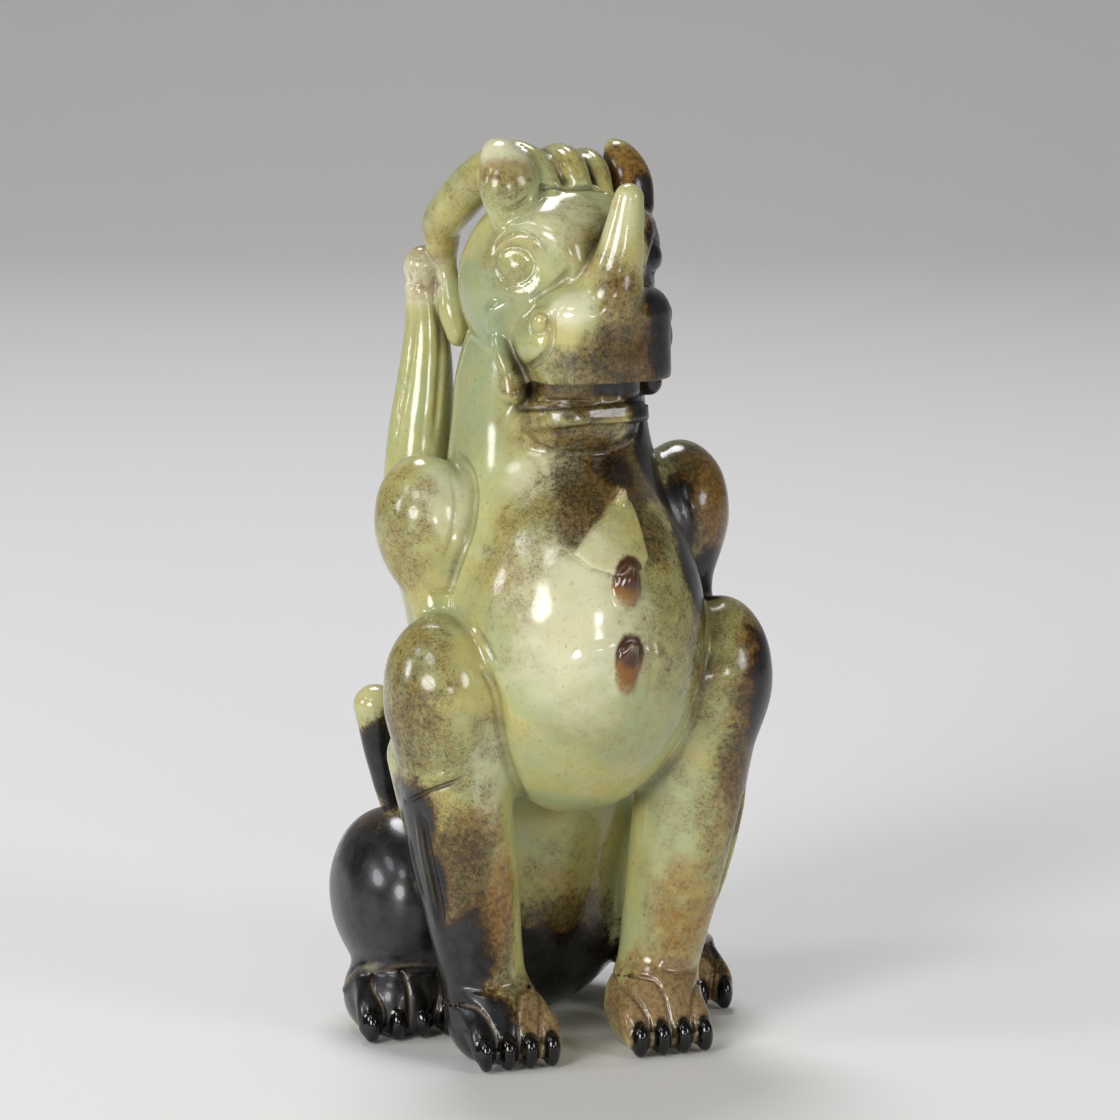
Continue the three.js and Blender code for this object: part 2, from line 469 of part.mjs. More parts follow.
async function build() {
  const form = new Form(LOW, HIGH, STEP);
  carve(form);
  const fine = shell(skin(form));
  // the face and the feet keep smaller facets than the plain back
  const weight = (p) => (p[2] > 78 && p[1] < 6 ? 5 : p[2] < 12 && p[1] < 12 ? 3 : 1);
  const low = reduce(fine, FACETS, weight);

  const wasm = await Module();
  wasm.setup();
  const { Manifold, Mesh } = wasm;
  const solid = (p, t) => {
    const m = new Mesh({ numProp: 3, vertProperties: Float32Array.from(p), triVerts: Uint32Array.from(t) });
    m.merge();
    return new Manifold(m);
  };
  // flat sole: everything below the sole plane is ground away
  const slab = new THREE.BoxGeometry(200, 200, 40).translate(0, 0, SOLE - 20);
  const body = solid(low.points, low.tris).subtract(solid(slab.getAttribute('position').array, slab.getIndex().array));
  const out = body.getMesh();

  const pos = new Float32Array(out.numProp * out.numVert);
  for (let i = 0; i < out.numVert; i++) for (let k = 0; k < 3; k++) pos[3 * i + k] = out.vertProperties[out.numProp * i + k];
  const geometry = new THREE.BufferGeometry();
  geometry.setAttribute('position', new THREE.BufferAttribute(pos.slice(0, out.numVert * 3), 3));
  geometry.setIndex([...out.triVerts]);
  geometry.computeBoundingBox();
  const bb = geometry.boundingBox;
  geometry.translate(-(bb.min.x + bb.max.x) / 2, -(bb.min.y + bb.max.y) / 2, -bb.min.z);
  geometry.computeVertexNormals();

  const mesh = new THREE.Mesh(geometry, new THREE.MeshStandardMaterial(STONE));
  mesh.name = 'dragon_carving';
  const group = new THREE.Group();
  group.add(mesh);
  return group;
}

export default await build();
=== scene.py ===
"""A seated horned dragon carved from one pebble of nephrite, about 119 mm tall.

The surface is a sampled distance field: rounded forms are blended together,
fine lines are cut along it, and it is skinned once.
Form sizes are in millimetres, +Z up, the creature faces -Y, its right side is -X.
"""
import math

import bpy
import numpy as np
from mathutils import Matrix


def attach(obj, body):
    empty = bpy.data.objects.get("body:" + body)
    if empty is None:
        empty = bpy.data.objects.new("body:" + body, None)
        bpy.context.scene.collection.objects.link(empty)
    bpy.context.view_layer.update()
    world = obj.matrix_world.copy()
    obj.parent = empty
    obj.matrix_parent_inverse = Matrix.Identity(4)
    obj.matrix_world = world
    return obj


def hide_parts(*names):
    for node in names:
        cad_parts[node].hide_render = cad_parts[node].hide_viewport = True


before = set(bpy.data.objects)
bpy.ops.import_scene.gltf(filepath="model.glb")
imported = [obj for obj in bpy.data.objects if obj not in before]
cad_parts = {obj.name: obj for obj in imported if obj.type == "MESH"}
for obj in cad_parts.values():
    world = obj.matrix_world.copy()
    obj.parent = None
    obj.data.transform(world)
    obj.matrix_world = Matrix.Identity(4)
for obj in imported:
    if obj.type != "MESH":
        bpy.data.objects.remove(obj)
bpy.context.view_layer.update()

import openvdb
from mathutils import Matrix, Vector

# ------------------------------------------------------------------ overall
NODE = "dragon_carving"
STEP = 0.3          # spacing of the sampled form
FACES = 196000    # triangles in the finished skin
LOW, HIGH = (-29, -27, -1.5), (29, 36, 120.5)
SHIFT = (0.0, -4.54, 0.0)                  # from the carver's axes to the row frame

# Head: where it sits on the neck, how it turns, and its forms in head coordinates
HEAD_AT = [0, 0, 99.5]
HEAD_TURN = [10, -2, 0]
CRANIUM = [[0, 1.0, 0.3], [12.8, 12.4, 12.6]]
FOREHEAD = [[0, -4.4, 6.4], [8.4, 7.0, 6.4]]
MUZZLE = [[0.4, -7.6, -6.7], [8.8, 9.0, 6.7], 6.2, 3.0]
MUZZLE_TOP = [[0, -11.2, -3.0], [7.9, 5.0, 4.4]]
MOUTH_CUT = [[0, -10, -17.4], [14, 14, 6.0], 2, 0.05]
TOOTH_BAND = [[-0.3, -5.2, -12.8], [6.9, 7.1, 3.4], 5.4, 0.4]
LOWER_LIP = [[-0.8, -3.1, -17.2], [8.2, 8.2, 1.15], 6.0, 0.4]
LIP_TILT = -8
JAW = [[-0.8, -4.3, -16.7], [8.4, 8.3, 5.2]]
BROW = [[10.9, -2.6, 3.6, 0.7], [10.5, -3.5, 5.2, 1.1], [9.1, -4.5, 7.2, 1.4], [7.0, -6.2, 8.1, 1.6], [5.9, -8.5, 7.3, 1.7], [4.9, -9.8, 5.8, 1.5], [4.1, -10.6, 3.9, 1.1]]
EYE = [[9.2, -5.1, 3.2], [2.7, 1.75, 2.35]]
LEFT_BROW_OUT = 1.0
NOSTRIL = [[8.7, -10.3, -3.3], [1.5, 1.6, 1.6]]
CHEEK_PAD = [[7.9, -8.4, -6.6], [2.9, 3.6, 3.2]]
MOUTH_FOLD = [[11.2, -3.2, -2.6, 0.6], [10.9, -3.0, -6.2, 0.9], [10.5, -4.2, -9.4, 1.2], [10.1, -4.9, -12.8, 1.75]]
HORN = [[0, -6.5, -0.6, 3.6], [-0.5, -12.3, -1.6, 4.6], [0.2, -14.0, 3.0, 3.35], [0.9, -15.0, 8.2, 2.5], [1.2, -15.7, 12.0, 1.9]]
EAR_RIGHT = [[-8.4, -3.2, 10.2, 3.5], [-8.5, -2.6, 13.2, 4.1], [-8.6, -1.0, 15.7, 3.2], [-8.7, 0.5, 17.2, 2.1]]
EAR_LEFT = [[9.2, -3.0, 9.6, 2.9], [9.2, -2.2, 12.8, 3.1], [9.0, -0.6, 15.6, 2.4], [8.8, 0.8, 17.2, 1.3]]
CREST_MID = [[0.4, -6.2, 11.6, 1.2], [0.0, -3.4, 15.0, 2.0], [0.2, 0.6, 15.9, 2.2], [0.8, 5.5, 14.2, 2.2], [1.0, 9.4, 10.5, 1.4]]
CREST_LEFT = [[3.6, -5.6, 11.6, 1.2], [4.0, -2.6, 14.5, 1.9], [4.4, 1.4, 15.2, 2.1], [4.8, 6.0, 13.4, 2.1], [4.8, 9.4, 9.8, 1.4]]

# Trunk: ellipsoids [centre, radii] and the neck path [x, y, z, radius]
BELLY = [[0, -5, 55.0], [17.0, 18.4, 23.6]]
CHEST = [[0, 4, 68.5], [13.0, 12.8, 15.0]]
LOINS = [[0, 15.5, 26], [15.0, 13.5, 25]]
RUMP = [[0, 21, 13], [17.0, 13.0, 13.8]]
NECK = [[0, 3.6, 74, 12.3], [0.1, 4.6, 84, 12.5], [0.3, 3.8, 92, 10.8]]

# Forelimb, creature's left side (mirrored for the right)
SHOULDER = [[17.3, 2.8, 68.6], [6.6, 7.6, 9.4]]
UPPER_ARM = [[17.6, 1.5, 67, 5.2], [17.2, -0.5, 60, 3.6], [16.8, -3, 54, 3.3]]
ELBOW = [[19.0, -7.4, 48.2], [7.2, 8.2, 10.6]]
FORELEG = [[18.0, -7.2, 46, 7.2], [15.8, -6.0, 30, 7.0], [14.2, -5.8, 20, 6.2], [12.9, -5.6, 12, 5.5], [12.1, -6.2, 7, 5.4]]
FRINGE = [[22.4, -4.5, 40, 3.6], [20.4, -2.6, 32, 3.0], [18.2, -1.8, 24, 2.0], [16.8, -1.4, 17.5, 0.5]]
PAW = [[11.2, -7.5, 4.3], [6.2, 7.0, 5.6]]
PAW_TOE = [[10.8, 2.0, -5.5, 6.7, 1.9], [10.9, 2.75, -11.6, 5.0, 2.0], [11.0, 2.95, -14.2, 2.4, 1.6]]
PAW_CLAW = [[11.1, 3.0, -15.0, 2.35], [1.1, 1.55, 2.35]]
LEFT_LEG_IN = 1.0

# Hind limb, creature's left side (mirrored for the right)
HAUNCH = [[18.2, 14, 17.2], [8.2, 13.0, 11.8]]
HIND_FOOT = [[19.4, 11.0, 4.6], [6.6, 8.0, 6.5]]
ANKLE_RIM = [[25.7, 12.2, 5.3, 0.55], [25.2, 10.3, 7.2, 0.65], [23.9, 8.2, 9.0, 0.7], [21.6, 5.6, 10.2, 0.7], [18.6, 4.2, 10.7, 0.7], [15.4, 5.9, 9.6, 0.6]]
HIND_TOE = [[19.6, 2.2, 9.6, 7.4, 2.0], [19.6, 3.25, 5.9, 4.4, 1.9], [19.6, 3.45, 4.6, 2.2, 1.6]]
HIND_CLAW = [[19.6, 3.5, 3.9, 2.3], [1.1, 1.5, 2.25]]

# Tail rising up the back, its spur, and the mane lock that meets it
TAIL = [[-2, 27, 20, 7], [-4.5, 26, 40, 6], [-8.5, 22.0, 54, 5.2], [-11.9, 19.5, 64, 5.0], [-12.9, 19, 72, 4.7], [-12.5, 19, 79, 4.3], [-11.9, 19, 86, 3.6], [-11.7, 19, 93, 2.8], [-12.2, 19.0, 97.6, 2.4]]
TAIL_TIP = [[-12.1, 19.0, 100.3], [2.6, 2.6, 2.7]]
TAIL_SPUR = [[-3, 29, 16, 4.5], [-9, 30.5, 21, 3.3], [-13.0, 29.5, 27, 2.4], [-15.0, 29.5, 33, 2.3], [-15.8, 29.5, 39.6, 3.0]]
MANE_LOCK = [[-2.6, -5.0, 111.4, 1.2], [-3.4, -2.0, 114.4, 1.9], [-4.6, 0.8, 115.4, 2.5], [-6.4, 4.2, 115.0, 2.8], [-8.2, 8.0, 112.6, 3.0], [-9.6, 12.0, 109.4, 3.0], [-10.5, 15.6, 106.4, 2.7], [-10.4, 16.6, 103.6, 2.3]]
LOCK_END = [[-10.2, 16.8, 103, 1.9], [-9.7, 16.8, 99.5, 1.5], [-9.3, 15.4, 95.2, 2.1], [-8.8, 14.2, 91.8, 1.8]]

# Raised scale tips down the front of the chest and belly
SCALE_OUTLINE = [[2.6, 75.4], [-5.5, 67.9], [-3.6, 66.1], [-0.6, 65.2], [3.2, 65.7], [4.3, 67.1], [3.7, 73.2]]
SCALE_RISE = 0.8
PLATE_TOP = [[1.6, -15.9, 71.6, 1.5], [2.0, -16.7, 73.6, 1.0], [2.15, -17.3, 75.1, 0.55]]
PLATE_MID = [[0.7, -21.2, 61.9, 1.9], [0.95, -22.0, 64.0, 1.6], [1.35, -22.8, 66.1, 0.55]]
PLATE_LOW = [[0.4, -21.7, 51.4, 1.9], [0.65, -22.6, 54.0, 1.6], [1.05, -24.4, 56.4, 0.6]]
# Fine relief on the head: [centre, outward direction, radius] on the creature's left, mirrored
EYE_RING = [[10.5, -6.5, 3.5], [0.74, -0.64, 0.12], 2.6]
NOSE_RING = [[9.6, -11.2, -3.3], [0.8, -0.6, -0.05], 1.45]
SPINE = [[24.5, 66], [29, 55], [33, 40], [34.5, 24], [34, 12]]        # [y, z] down the back
RIPPLES = [(0.05, 13.0, 1.0), (0.04, 9.0, 2.2), (0.02, 6.5, 3.1)]     # (height, length, phase)


# Lines cut into the stone and beads raised on it: (kind, width, depth, blend, faded ends, on both sides, path)
# on the head, in its own frame, right side
HEAD_LINES = {
    "muzzle_crease": ("cut", 0.55, 0.55, 0.35, (1, 1), True,
        [[-7.8, -12.5, -1.4], [-8.3, -12.4, -3.8], [-8.4, -12.4, -5.9], [-9.1, -11.7, -7.7], [-9.7, -9.6, -9.0], [-9.3, -5.6, -10.0]]),
    "cheek_fold": ("add", 0.9, 0.45, 0.9, (1, 1), True,
        [[-11.1, -4.8, -1.9], [-12.0, -3.7, -2.4], [-12.0, -2.3, -3.9], [-11.2, -1.4, -5.7], [-11.7, -3.5, -7.0], [-11.5, -4.6, -8.6], [-11.0, -5.6, -10.1]]),
    "brow_crease": ("cut", 0.3, 0.3, 0.25, (1, 1), True,
        [[-7.1, -9.7, 3.9], [-8.0, -9.2, 6.2], [-8.9, -7.6, 7.6], [-10.2, -5.9, 7.7], [-11.4, -4.5, 6.6], [-12.1, -3.7, 4.8]]),
    "nose_crease": ("cut", 0.45, 0.4, 0.5, (1, 1), True,
        [[-8.8, -8.3, -0.9], [-7.8, -9.2, 0.1], [-6.3, -10.2, 1.1], [-5.5, -11.1, 2.3], [-5.2, -11.7, 3.7]]),
    "tooth_line": ("cut", 0.24, 0.3, 0.05, (0, 0), True,
        [[-7.4, -7.2, -13.8], [-6.1, -10.1, -13.7], [-2.9, -12.2, -13.8]]),
    "lip_top": ("cut", 0.25, 0.35, 0.05, (0, 0), True,
        [[-9.0, -5.1, -14.9], [-7.5, -8.7, -14.8], [-4.9, -13.1, -14.6]]),
    "chin_edge": ("cut", 0.35, 0.35, 0.2, (1, 1), True,
        [[-9.3, -4.5, -16.3], [-8.9, -5.7, -17.9], [-7.6, -6.9, -19.3], [-5.7, -8.2, -20.4]]),
    "hair_line": ("cut", 0.4, 0.4, 0.2, (0, 0), False,
        [[-5.2, -4.7, 13.0], [-3.5, -5.5, 13.0], [-1.2, -6.4, 12.7], [1.3, -6.8, 12.6], [2.7, -6.8, 12.2]]),
    "ear_lip": ("cut", 0.35, 0.35, 0.25, (1, 1), False,
        [[-11.6, -4.5, 11.2], [-10.4, -5.3, 10.5], [-8.6, -5.7, 11.2], [-6.9, -5.6, 12.5]]),
}
# on the trunk and limbs
BODY_LINES = {
    "shoulder_edge": ("cut", 0.5, 0.5, 0.6, (1, 1), True,
        [[-13.1, 2.4, 78.0], [-12.8, -1.4, 76.2], [-13.0, -3.8, 73.4], [-13.7, -5.0, 70.3], [-14.8, -5.5, 67.2], [-15.9, -4.9, 63.7], [-16.6, -4.6, 61.1]]),
    "shoulder_inner": ("cut", 0.3, 0.2, 0.4, (1, 1), True,
        [[-15.4, -1.7, 75.4], [-15.5, -3.8, 72.2], [-16.4, -4.7, 68.5], [-17.4, -4.5, 65.3]]),
    "shoulder_base": ("cut", 0.3, 0.25, 0.3, (1, 1), True,
        [[-18.9, -3.6, 61.3], [-17.7, -4.0, 61.1], [-16.5, -4.8, 61.5]]),
    "arm_line": ("cut", 0.35, 0.35, 0.35, (1, 1), True,
        [[-15.7, -11.7, 57.9], [-15.1, -13.4, 56.3], [-14.5, -14.6, 54.6], [-14.0, -15.3, 53.5]]),
    "flank_line": ("cut", 0.4, 0.25, 0.6, (1, 1), True,
        [[-15.3, -14.0, 52.3], [-14.4, -14.5, 50.8], [-13.7, -14.7, 48.0], [-13.0, -14.0, 44.0], [-11.9, -13.0, 40.5], [-10.1, -11.4, 37.1], [-7.8, -8.5, 34.2]]),
    "flank_bead": ("add", 0.5, 0.12, 0.6, (1, 1), True,
        [[-14.0, -15.2, 52.5], [-13.2, -15.9, 50.0], [-12.4, -15.9, 46.9], [-11.5, -14.6, 42.7], [-10.3, -13.3, 39.4]]),
    "hem": ("cut", 0.45, 0.6, 0.3, (1, 1), False,
        [[-23.6, -6.5, 34.4], [-23.1, -9.5, 35.9], [-21.8, -11.7, 37.2], [-20.0, -13.1, 38.1], [-17.7, -13.8, 39.0]]),
    "hem_bead": ("add", 0.7, 0.35, 0.7, (1, 1), False,
        [[-23.7, -7.5, 35.4], [-23.0, -10.2, 37.0], [-21.7, -12.0, 38.2], [-19.9, -13.2, 39.1], [-18.0, -13.9, 39.8]]),
    "mid_ridge": ("add", 0.9, 0.3, 0.8, (1, 1), False,
        [[-1.7, -23.3, 56.1], [-3.1, -23.1, 55.9], [-4.5, -22.7, 55.4], [-6.0, -22.2, 54.5]]),
    "mid_ridge_left": ("add", 0.9, 0.25, 0.8, (1, 1), False,
        [[3.6, -23.0, 55.3], [4.6, -22.7, 54.7], [5.9, -22.2, 53.7]]),
    "belly_crease": ("cut", 0.4, 0.14, 0.5, (1, 1), False,
        [[4.7, -22.2, 60.2], [4.3, -22.7, 56.8], [4.1, -22.8, 52.9], [3.7, -22.4, 49.0]]),
    "fringe_rib": ("add", 0.5, 0.35, 0.4, (1, 1), True,
        [[-22.8, -9.1, 32.9], [-22.0, -8.9, 28.6], [-20.8, -8.5, 22.9], [-19.7, -7.8, 17.9]]),
    "fringe_flute": ("cut", 0.6, 0.8, 0.3, (1, 1), True,
        [[-22.5, -10.0, 33.9], [-21.5, -9.8, 28.8], [-20.2, -9.5, 23.1], [-19.1, -9.0, 17.9]]),
    "fringe_edge": ("cut", 0.5, 0.6, 0.3, (1, 1), True,
        [[-22.9, -6.1, 29.7], [-22.0, -6.0, 25.6], [-21.0, -6.4, 21.4]]),
    "wrist": ("cut", 0.45, 0.3, 0.5, (1, 1), True,
        [[-16.8, -9.3, 10.4], [-14.9, -10.9, 10.0], [-12.4, -11.5, 10.3], [-9.7, -10.8, 10.4]]),
    "column_1": ("cut", 0.4, 0.35, 0.4, (1, 1), False,
        [[-13.8, 17.2, 97.1], [-14.2, 17.5, 92.1], [-15.0, 17.4, 86.8], [-16.1, 17.3, 81.6], [-16.7, 17.2, 77.7]]),
    "column_2": ("cut", 0.4, 0.35, 0.4, (1, 1), False,
        [[-11.1, 15.3, 97.2], [-10.7, 16.3, 92.1], [-11.1, 15.6, 86.9], [-11.7, 15.0, 81.7], [-12.3, 14.6, 77.8]]),
    "column_neck": ("cut", 0.35, 0.3, 0.25, (0, 0), False,
        [[-14.4, 18.3, 98.2], [-13.3, 17.0, 98.0], [-11.8, 16.7, 98.0], [-10.9, 15.6, 98.5]]),
}

# Patches of colour [x, y, z, rx, ry, rz, strength], in the carver's axes
GREEN = [[0, -20, 45, 12, 8, 8, 0.4], [-11, -3, 97, 6, 10, 9, 1.0], [-12, 2, 86, 6, 12, 9, 0.8], [-10, -8, 92, 3, 4, 4, 0.9],
         [0, 20, 60, 14, 8, 20, 0.5], [4, -22, 52, 10, 8, 12, 0.3], [-11, 19, 90, 5, 6, 9, 0.3],
         [4, -8, 88, 8, 8, 6, 0.3]]
PALE = [[-4, -10, 109.5, 5, 4, 3.5, 0.5], [-9.5, -3, 117.5, 4, 4, 2.2, 0.8], [-13, 18, 99, 4, 4, 3.5, 1.0], [-6, -20, 60, 9, 8, 12, 0.75],
        [-5, -10, 76, 6, 4, 4, 0.7], [1, -16.5, 109, 3, 3, 5, 0.5], [-17, -4, 73, 3.5, 5, 5, 0.7],
        [11, -12, 32, 4, 4, 8, 0.15], [-14.5, -14, 38, 2.5, 3, 7, 0.5], [-4.5, -15.5, 98.5, 3.2, 3, 2.5, 0.8],
        [-15.5, 27, 42, 4, 5, 4, 0.25]]
OLIVE = [[-13, 16, 104, 5, 8, 8, 0.5], [-23, -13, 52, 5, 6, 7, 0.7], [-20, -13, 40, 5, 5, 8, 0.8], [-6, -22, 46, 6, 4, 3, 0.3], [1, -16.5, 107, 3, 3, 8, 0.3], [-9, -3, 113, 4, 4, 4, 0.5], [19.5, -11.5, 34, 3.4, 5, 8, 1.0], [-4, -9, 85.5, 8, 5, 2, 0.9], [-22.5, -1, 68, 5, 7, 10, 1.0], [-23.5, -11, 49, 6, 8, 13, 1.0], [-18, -13, 43, 6, 4, 6, 0.7],
         [21, -2, 70, 7, 8, 11, 0.9], [21, -12, 50, 8, 8, 12, 1.0], [2, -17, 91.5, 8, 4, 5, 1.0],
         [-7, -10, 89.5, 5, 5, 3.5, 0.9], [-4, -15.5, 90, 5, 4, 3.5, 1.0], [-2, -13, 86.5, 8, 5, 3, 0.9], [-2, -8, 108, 8, 6, 7, 0.5], [-9, -7, 106, 4, 4, 4, 0.5],
         [-10, -7, 103, 4, 4, 3, 0.6], [1.3, -17, 101, 3, 3, 6, 0.8], [-4, -10, 82, 8, 6, 4, 0.9],
         [-5, -14, 71, 10, 6, 8, 0.95], [-10.5, -14, 65, 6.5, 7, 9, 0.75], [8, -18, 62, 9, 8, 16, 0.8], [14, -14, 56, 5, 8, 14, 1.0],
         [-12, -14, 60, 6, 8, 10, 0.45], [-18, -12, 31, 6, 6, 9, 1.0], [-14, -13, 23, 5, 5, 5, 0.9],
         [0, 24, 30, 20, 10, 20, 0.6], [14, 16, 60, 10, 10, 16, 0.5], [4, 14, 98, 12, 8, 12, 0.6],
         [17, -11, 30, 4, 6, 12, 0.85], [-10, -6, 113, 4, 3, 3, 0.7], [0, -23, 44, 10, 6, 5, 0.35],
         [1, 3, 20, 9, 6, 7, 0.6], [2.0, -19, 70, 4, 4, 5, 0.6], [-12.5, 6, 112, 4, 6, 5, 0.6],
         [3, -3, 116, 8, 8, 4, 0.6], [12, -13, 32, 6, 5, 8, 0.5], [11, -12, 20, 5, 5, 7, 0.55],
         [-12, 16, 106, 5, 6, 8, 0.4], [-8, -9, 97, 3, 4, 3, 0.3]]
BROWN = [[-4.2, -17.5, 71.8, 3.4, 4.5, 4.2, 0.75], [-1, -16, 73, 5, 5, 4.5, 1.0], [5.5, -18, 70, 3, 4, 6, 0.75], [18.5, -3, 76, 5, 6, 5, 1.0], [-1, -17, 91, 6, 4, 3, 0.75], [4, -16.8, 93.5, 5, 4, 5, 1.0], [2, -15, 100, 3.4, 3.5, 4.5, 0.7], [-24, -11, 47, 4, 6, 9, 0.55],
         [0, -13, 85, 8, 5, 1.6, 0.9], [-1.0, -14.8, 72.5, 4.5, 5, 4, 0.6], [1, -13, 103.5, 3, 3, 3, 0.5], [-18, 15, 33, 9, 11, 6, 0.8], [20, 15, 20, 9, 12, 8, 0.8], [24, -8, 40, 4, 7, 12, 0.7], [16, 2, 78, 6, 7, 8, 0.6], [6, 22, 20, 10, 8, 12, 0.6],
        [-1, -10, 87.3, 9, 6, 1.2, 1.0], [12, -15.7, 64.7, 3, 4, 6, 0.8], [0.5, -14, 75.5, 6.8, 6, 6.5, 1.0], [3, -15.5, 73.5, 4, 4, 4, 0.85], [12.5, -16, 56, 3, 5, 13, 0.6], [24, -13, 50, 3.6, 6, 8, 0.9], [6, -11, 76.5, 6, 6, 5, 1.0], [3, -17, 90.8, 7, 4, 4.5, 0.95],
         [6, -16, 95, 4, 6, 6, 1.0], [3, -16.8, 92, 5, 4, 4, 1.0], [-2, -17, 90.5, 6, 4, 3.2, 0.5], [2, -12.5, 85.2, 8, 5, 1.2, 0.6], [22.5, -13.5, 47.5, 4, 5, 8, 1.0], [20.5, -10.5, 34, 2.6, 5, 9, 0.7], [-1, -11, 82.2, 7, 5, 3.4, 0.75], [-3, -16, 89.6, 6, 4, 2.8, 0.55], [2, -13.5, 86.6, 7, 4, 2, 0.6],
         [9, -3, 114, 4, 5, 5, 0.9], [7, -6, 80, 6, 6, 6, 1.0], [20, 0, 71, 7, 9, 10, 0.8],
         [22, -11, 46, 5.5, 8, 8, 0.85], [20.6, -12, 38, 4.4, 6, 9, 0.95], [-25, -9, 44, 3, 6, 6, 0.6],
         [-18, -11.5, 27.5, 4.5, 5, 6.5, 0.85], [-17.3, -11.5, 21, 4.2, 5, 5, 0.9], [-12.5, -12, 15, 3, 4, 7, 0.85], [-10, -12, 8, 4, 5, 4, 0.7],
         [24, 5, 5, 5, 8, 5, 0.4], [2, 4, 14.5, 10, 6, 4, 0.9], [0, -9, 117, 9, 6, 3, 0.45],
         [8, 8, 100, 8, 10, 12, 0.8], [12, 20, 30, 12, 10, 16, 0.6], [3, -10, 106, 4, 3, 2.5, 0.5],
         [15, -4, 84, 5, 8, 8, 0.6], [9, -20, 70, 4, 4, 5, 0.35], [-9.7, -5, 113.5, 4, 4, 2, 0.35]]
DARK = [[20, 18, 8, 12, 12, 9.5, 1.0], [12.4, -11.5, 69, 3.2, 5, 6, 0.9], [3.8, -12.5, 77.8, 4.2, 4, 3.2, 0.55], [14.6, -5, 69, 2.4, 4, 8, 0.85], [12, -4, 82, 4, 6.5, 7, 0.8], [-16, 20, 24, 9, 9, 9, 0.9], [-8, 27, 20, 7, 6, 9, 0.7],
        [5, -11, 87.4, 7, 6, 1.0, 0.9], [-20, -8.5, 10, 6.0, 7.5, 11, 1.0], [-26, 10, 8, 4, 8, 7, 0.9], [-21, 12, 17, 9, 15, 13, 1.0], [-19, 5, 4, 9, 8, 7, 1.0], [-18.2, -11, 10, 4.8, 6, 10.5, 1.0],
        # the patch low between the legs under the belly is partly black skin, partly painted shadow
        [-15.8, -12, 5, 5.4, 8, 6, 1.0], [0, 6, 5, 12, 8, 8, 1.0], [-23.2, -7.5, 31, 2.6, 5, 7, 1.0],
        [-21.4, -7.5, 22, 3.4, 5, 8, 1.0], [9.5, -13, 94, 3.9, 7, 8, 1.0], [11.5, -8, 73, 4, 4, 4.5, 0.9], [12.5, -15.5, 64.5, 2.6, 3.5, 5, 0.95], [23.8, -12, 46.5, 3.7, 7, 9, 0.95], [8, -12, 84, 3.5, 6, 5, 0.95],
        [11, -6.5, 77, 4.5, 5, 5.5, 1.0], [25, -10, 45, 3, 7, 8, 0.85], [13.6, -14, 65, 2.6, 5, 9, 1.0],
        [19, -1, 60, 5, 6, 5, 0.9], [11, -6, 104, 3.6, 5, 5, 1.0], [-15.5, 27, 32, 4, 5, 5.5, 0.95],
        [-10, 24, 12, 12, 10, 12, 0.9], [11, -3.5, 111, 3, 3, 3, 0.7],
        [12, 0, 90, 4, 8, 10, 0.7]]
RUSSET = [[8, -1, 114.5, 3, 4, 4, 0.6], [20.5, -4, 71, 4, 5, 6, 0.5], [0, -12, 104.5, 4, 3, 4, 0.4], [-12.0, -12, 22, 2.4, 3, 8, 0.75], [15, -11, 15, 6, 4, 6, 0.7], [11, -12, 13, 6, 4, 4.5, 0.6], [13, -11.5, 20, 5, 4, 6, 0.5],
          [-9.8, -5, 114.6, 4.2, 4, 2.2, 0.55], [10.5, -1, 116, 3, 3, 3, 0.6], [1.2, -17, 99.6, 2.6, 3, 3.4, 0.3],
          [24, -1, 74, 3.5, 6, 7, 0.6], [22.5, -13, 52, 4, 5, 6, 0.4], [0.8, -16.5, 111.5, 2.2, 2.5, 1.6, 0.3],
          [-12, 18, 97, 3, 3, 2, 0.35], [-12, 16, 103, 3, 4, 3, 0.3], [2, 4, 19, 8, 5, 3.5, 0.4],
          [18.5, -12, 31, 3, 5, 9, 0.4], [-25.5, 13, 20, 2, 7, 9, 0.5], [1.9, -17, 74.6, 2, 2, 2, 0.45],
          [-16, -14, 33.5, 3, 3, 3, 0.3]]
SANDY = [[10, -12.5, 6, 9, 8, 6, 1.0], [-7.6, -12, 5, 3, 7, 5.5, 1.0], [24, 2, 5, 5.5, 8, 5.5, 1.0]]

# Colours of the stone, as sRGB
CELADON, STRAW, CLOUDY = (167, 175, 126), (182, 174, 110), (203, 200, 157)
SEA, MILK = (137, 149, 112), (222, 220, 192)
OLIVE_TONE, OLIVE_DARK = (130, 108, 42), (46, 31, 8)
BROWN_TONE, BROWN_DEEP = (88, 60, 22), (36, 23, 11)
RUSSET_TONE, RUSSET_DEEP = (156, 112, 46), (96, 62, 22)
SAND_TONE, SAND_DEEP = (150, 124, 88), (112, 86, 56)
NUB_TONE, NUB_DEEP = (124, 78, 4), (66, 30, 3)
BLACK, SLATE = (8, 7, 7), (36, 38, 42)
TAN = (132, 116, 96)
# colour of the grime in the cut lines, also used as painted shade in hollows and recesses
DIRT_AND_SHADE = (60, 42, 24)
FLOOR = (238, 237, 234)

# Camera: degrees round the carving and above it, lens, distance, aim
CAM_AZ, CAM_EL, CAM_FAR = 20.0, 10.0, 0.650
CAM_LENS = 36 * 5005 / 1120
CAM_AT = (0, 0, 63.5)
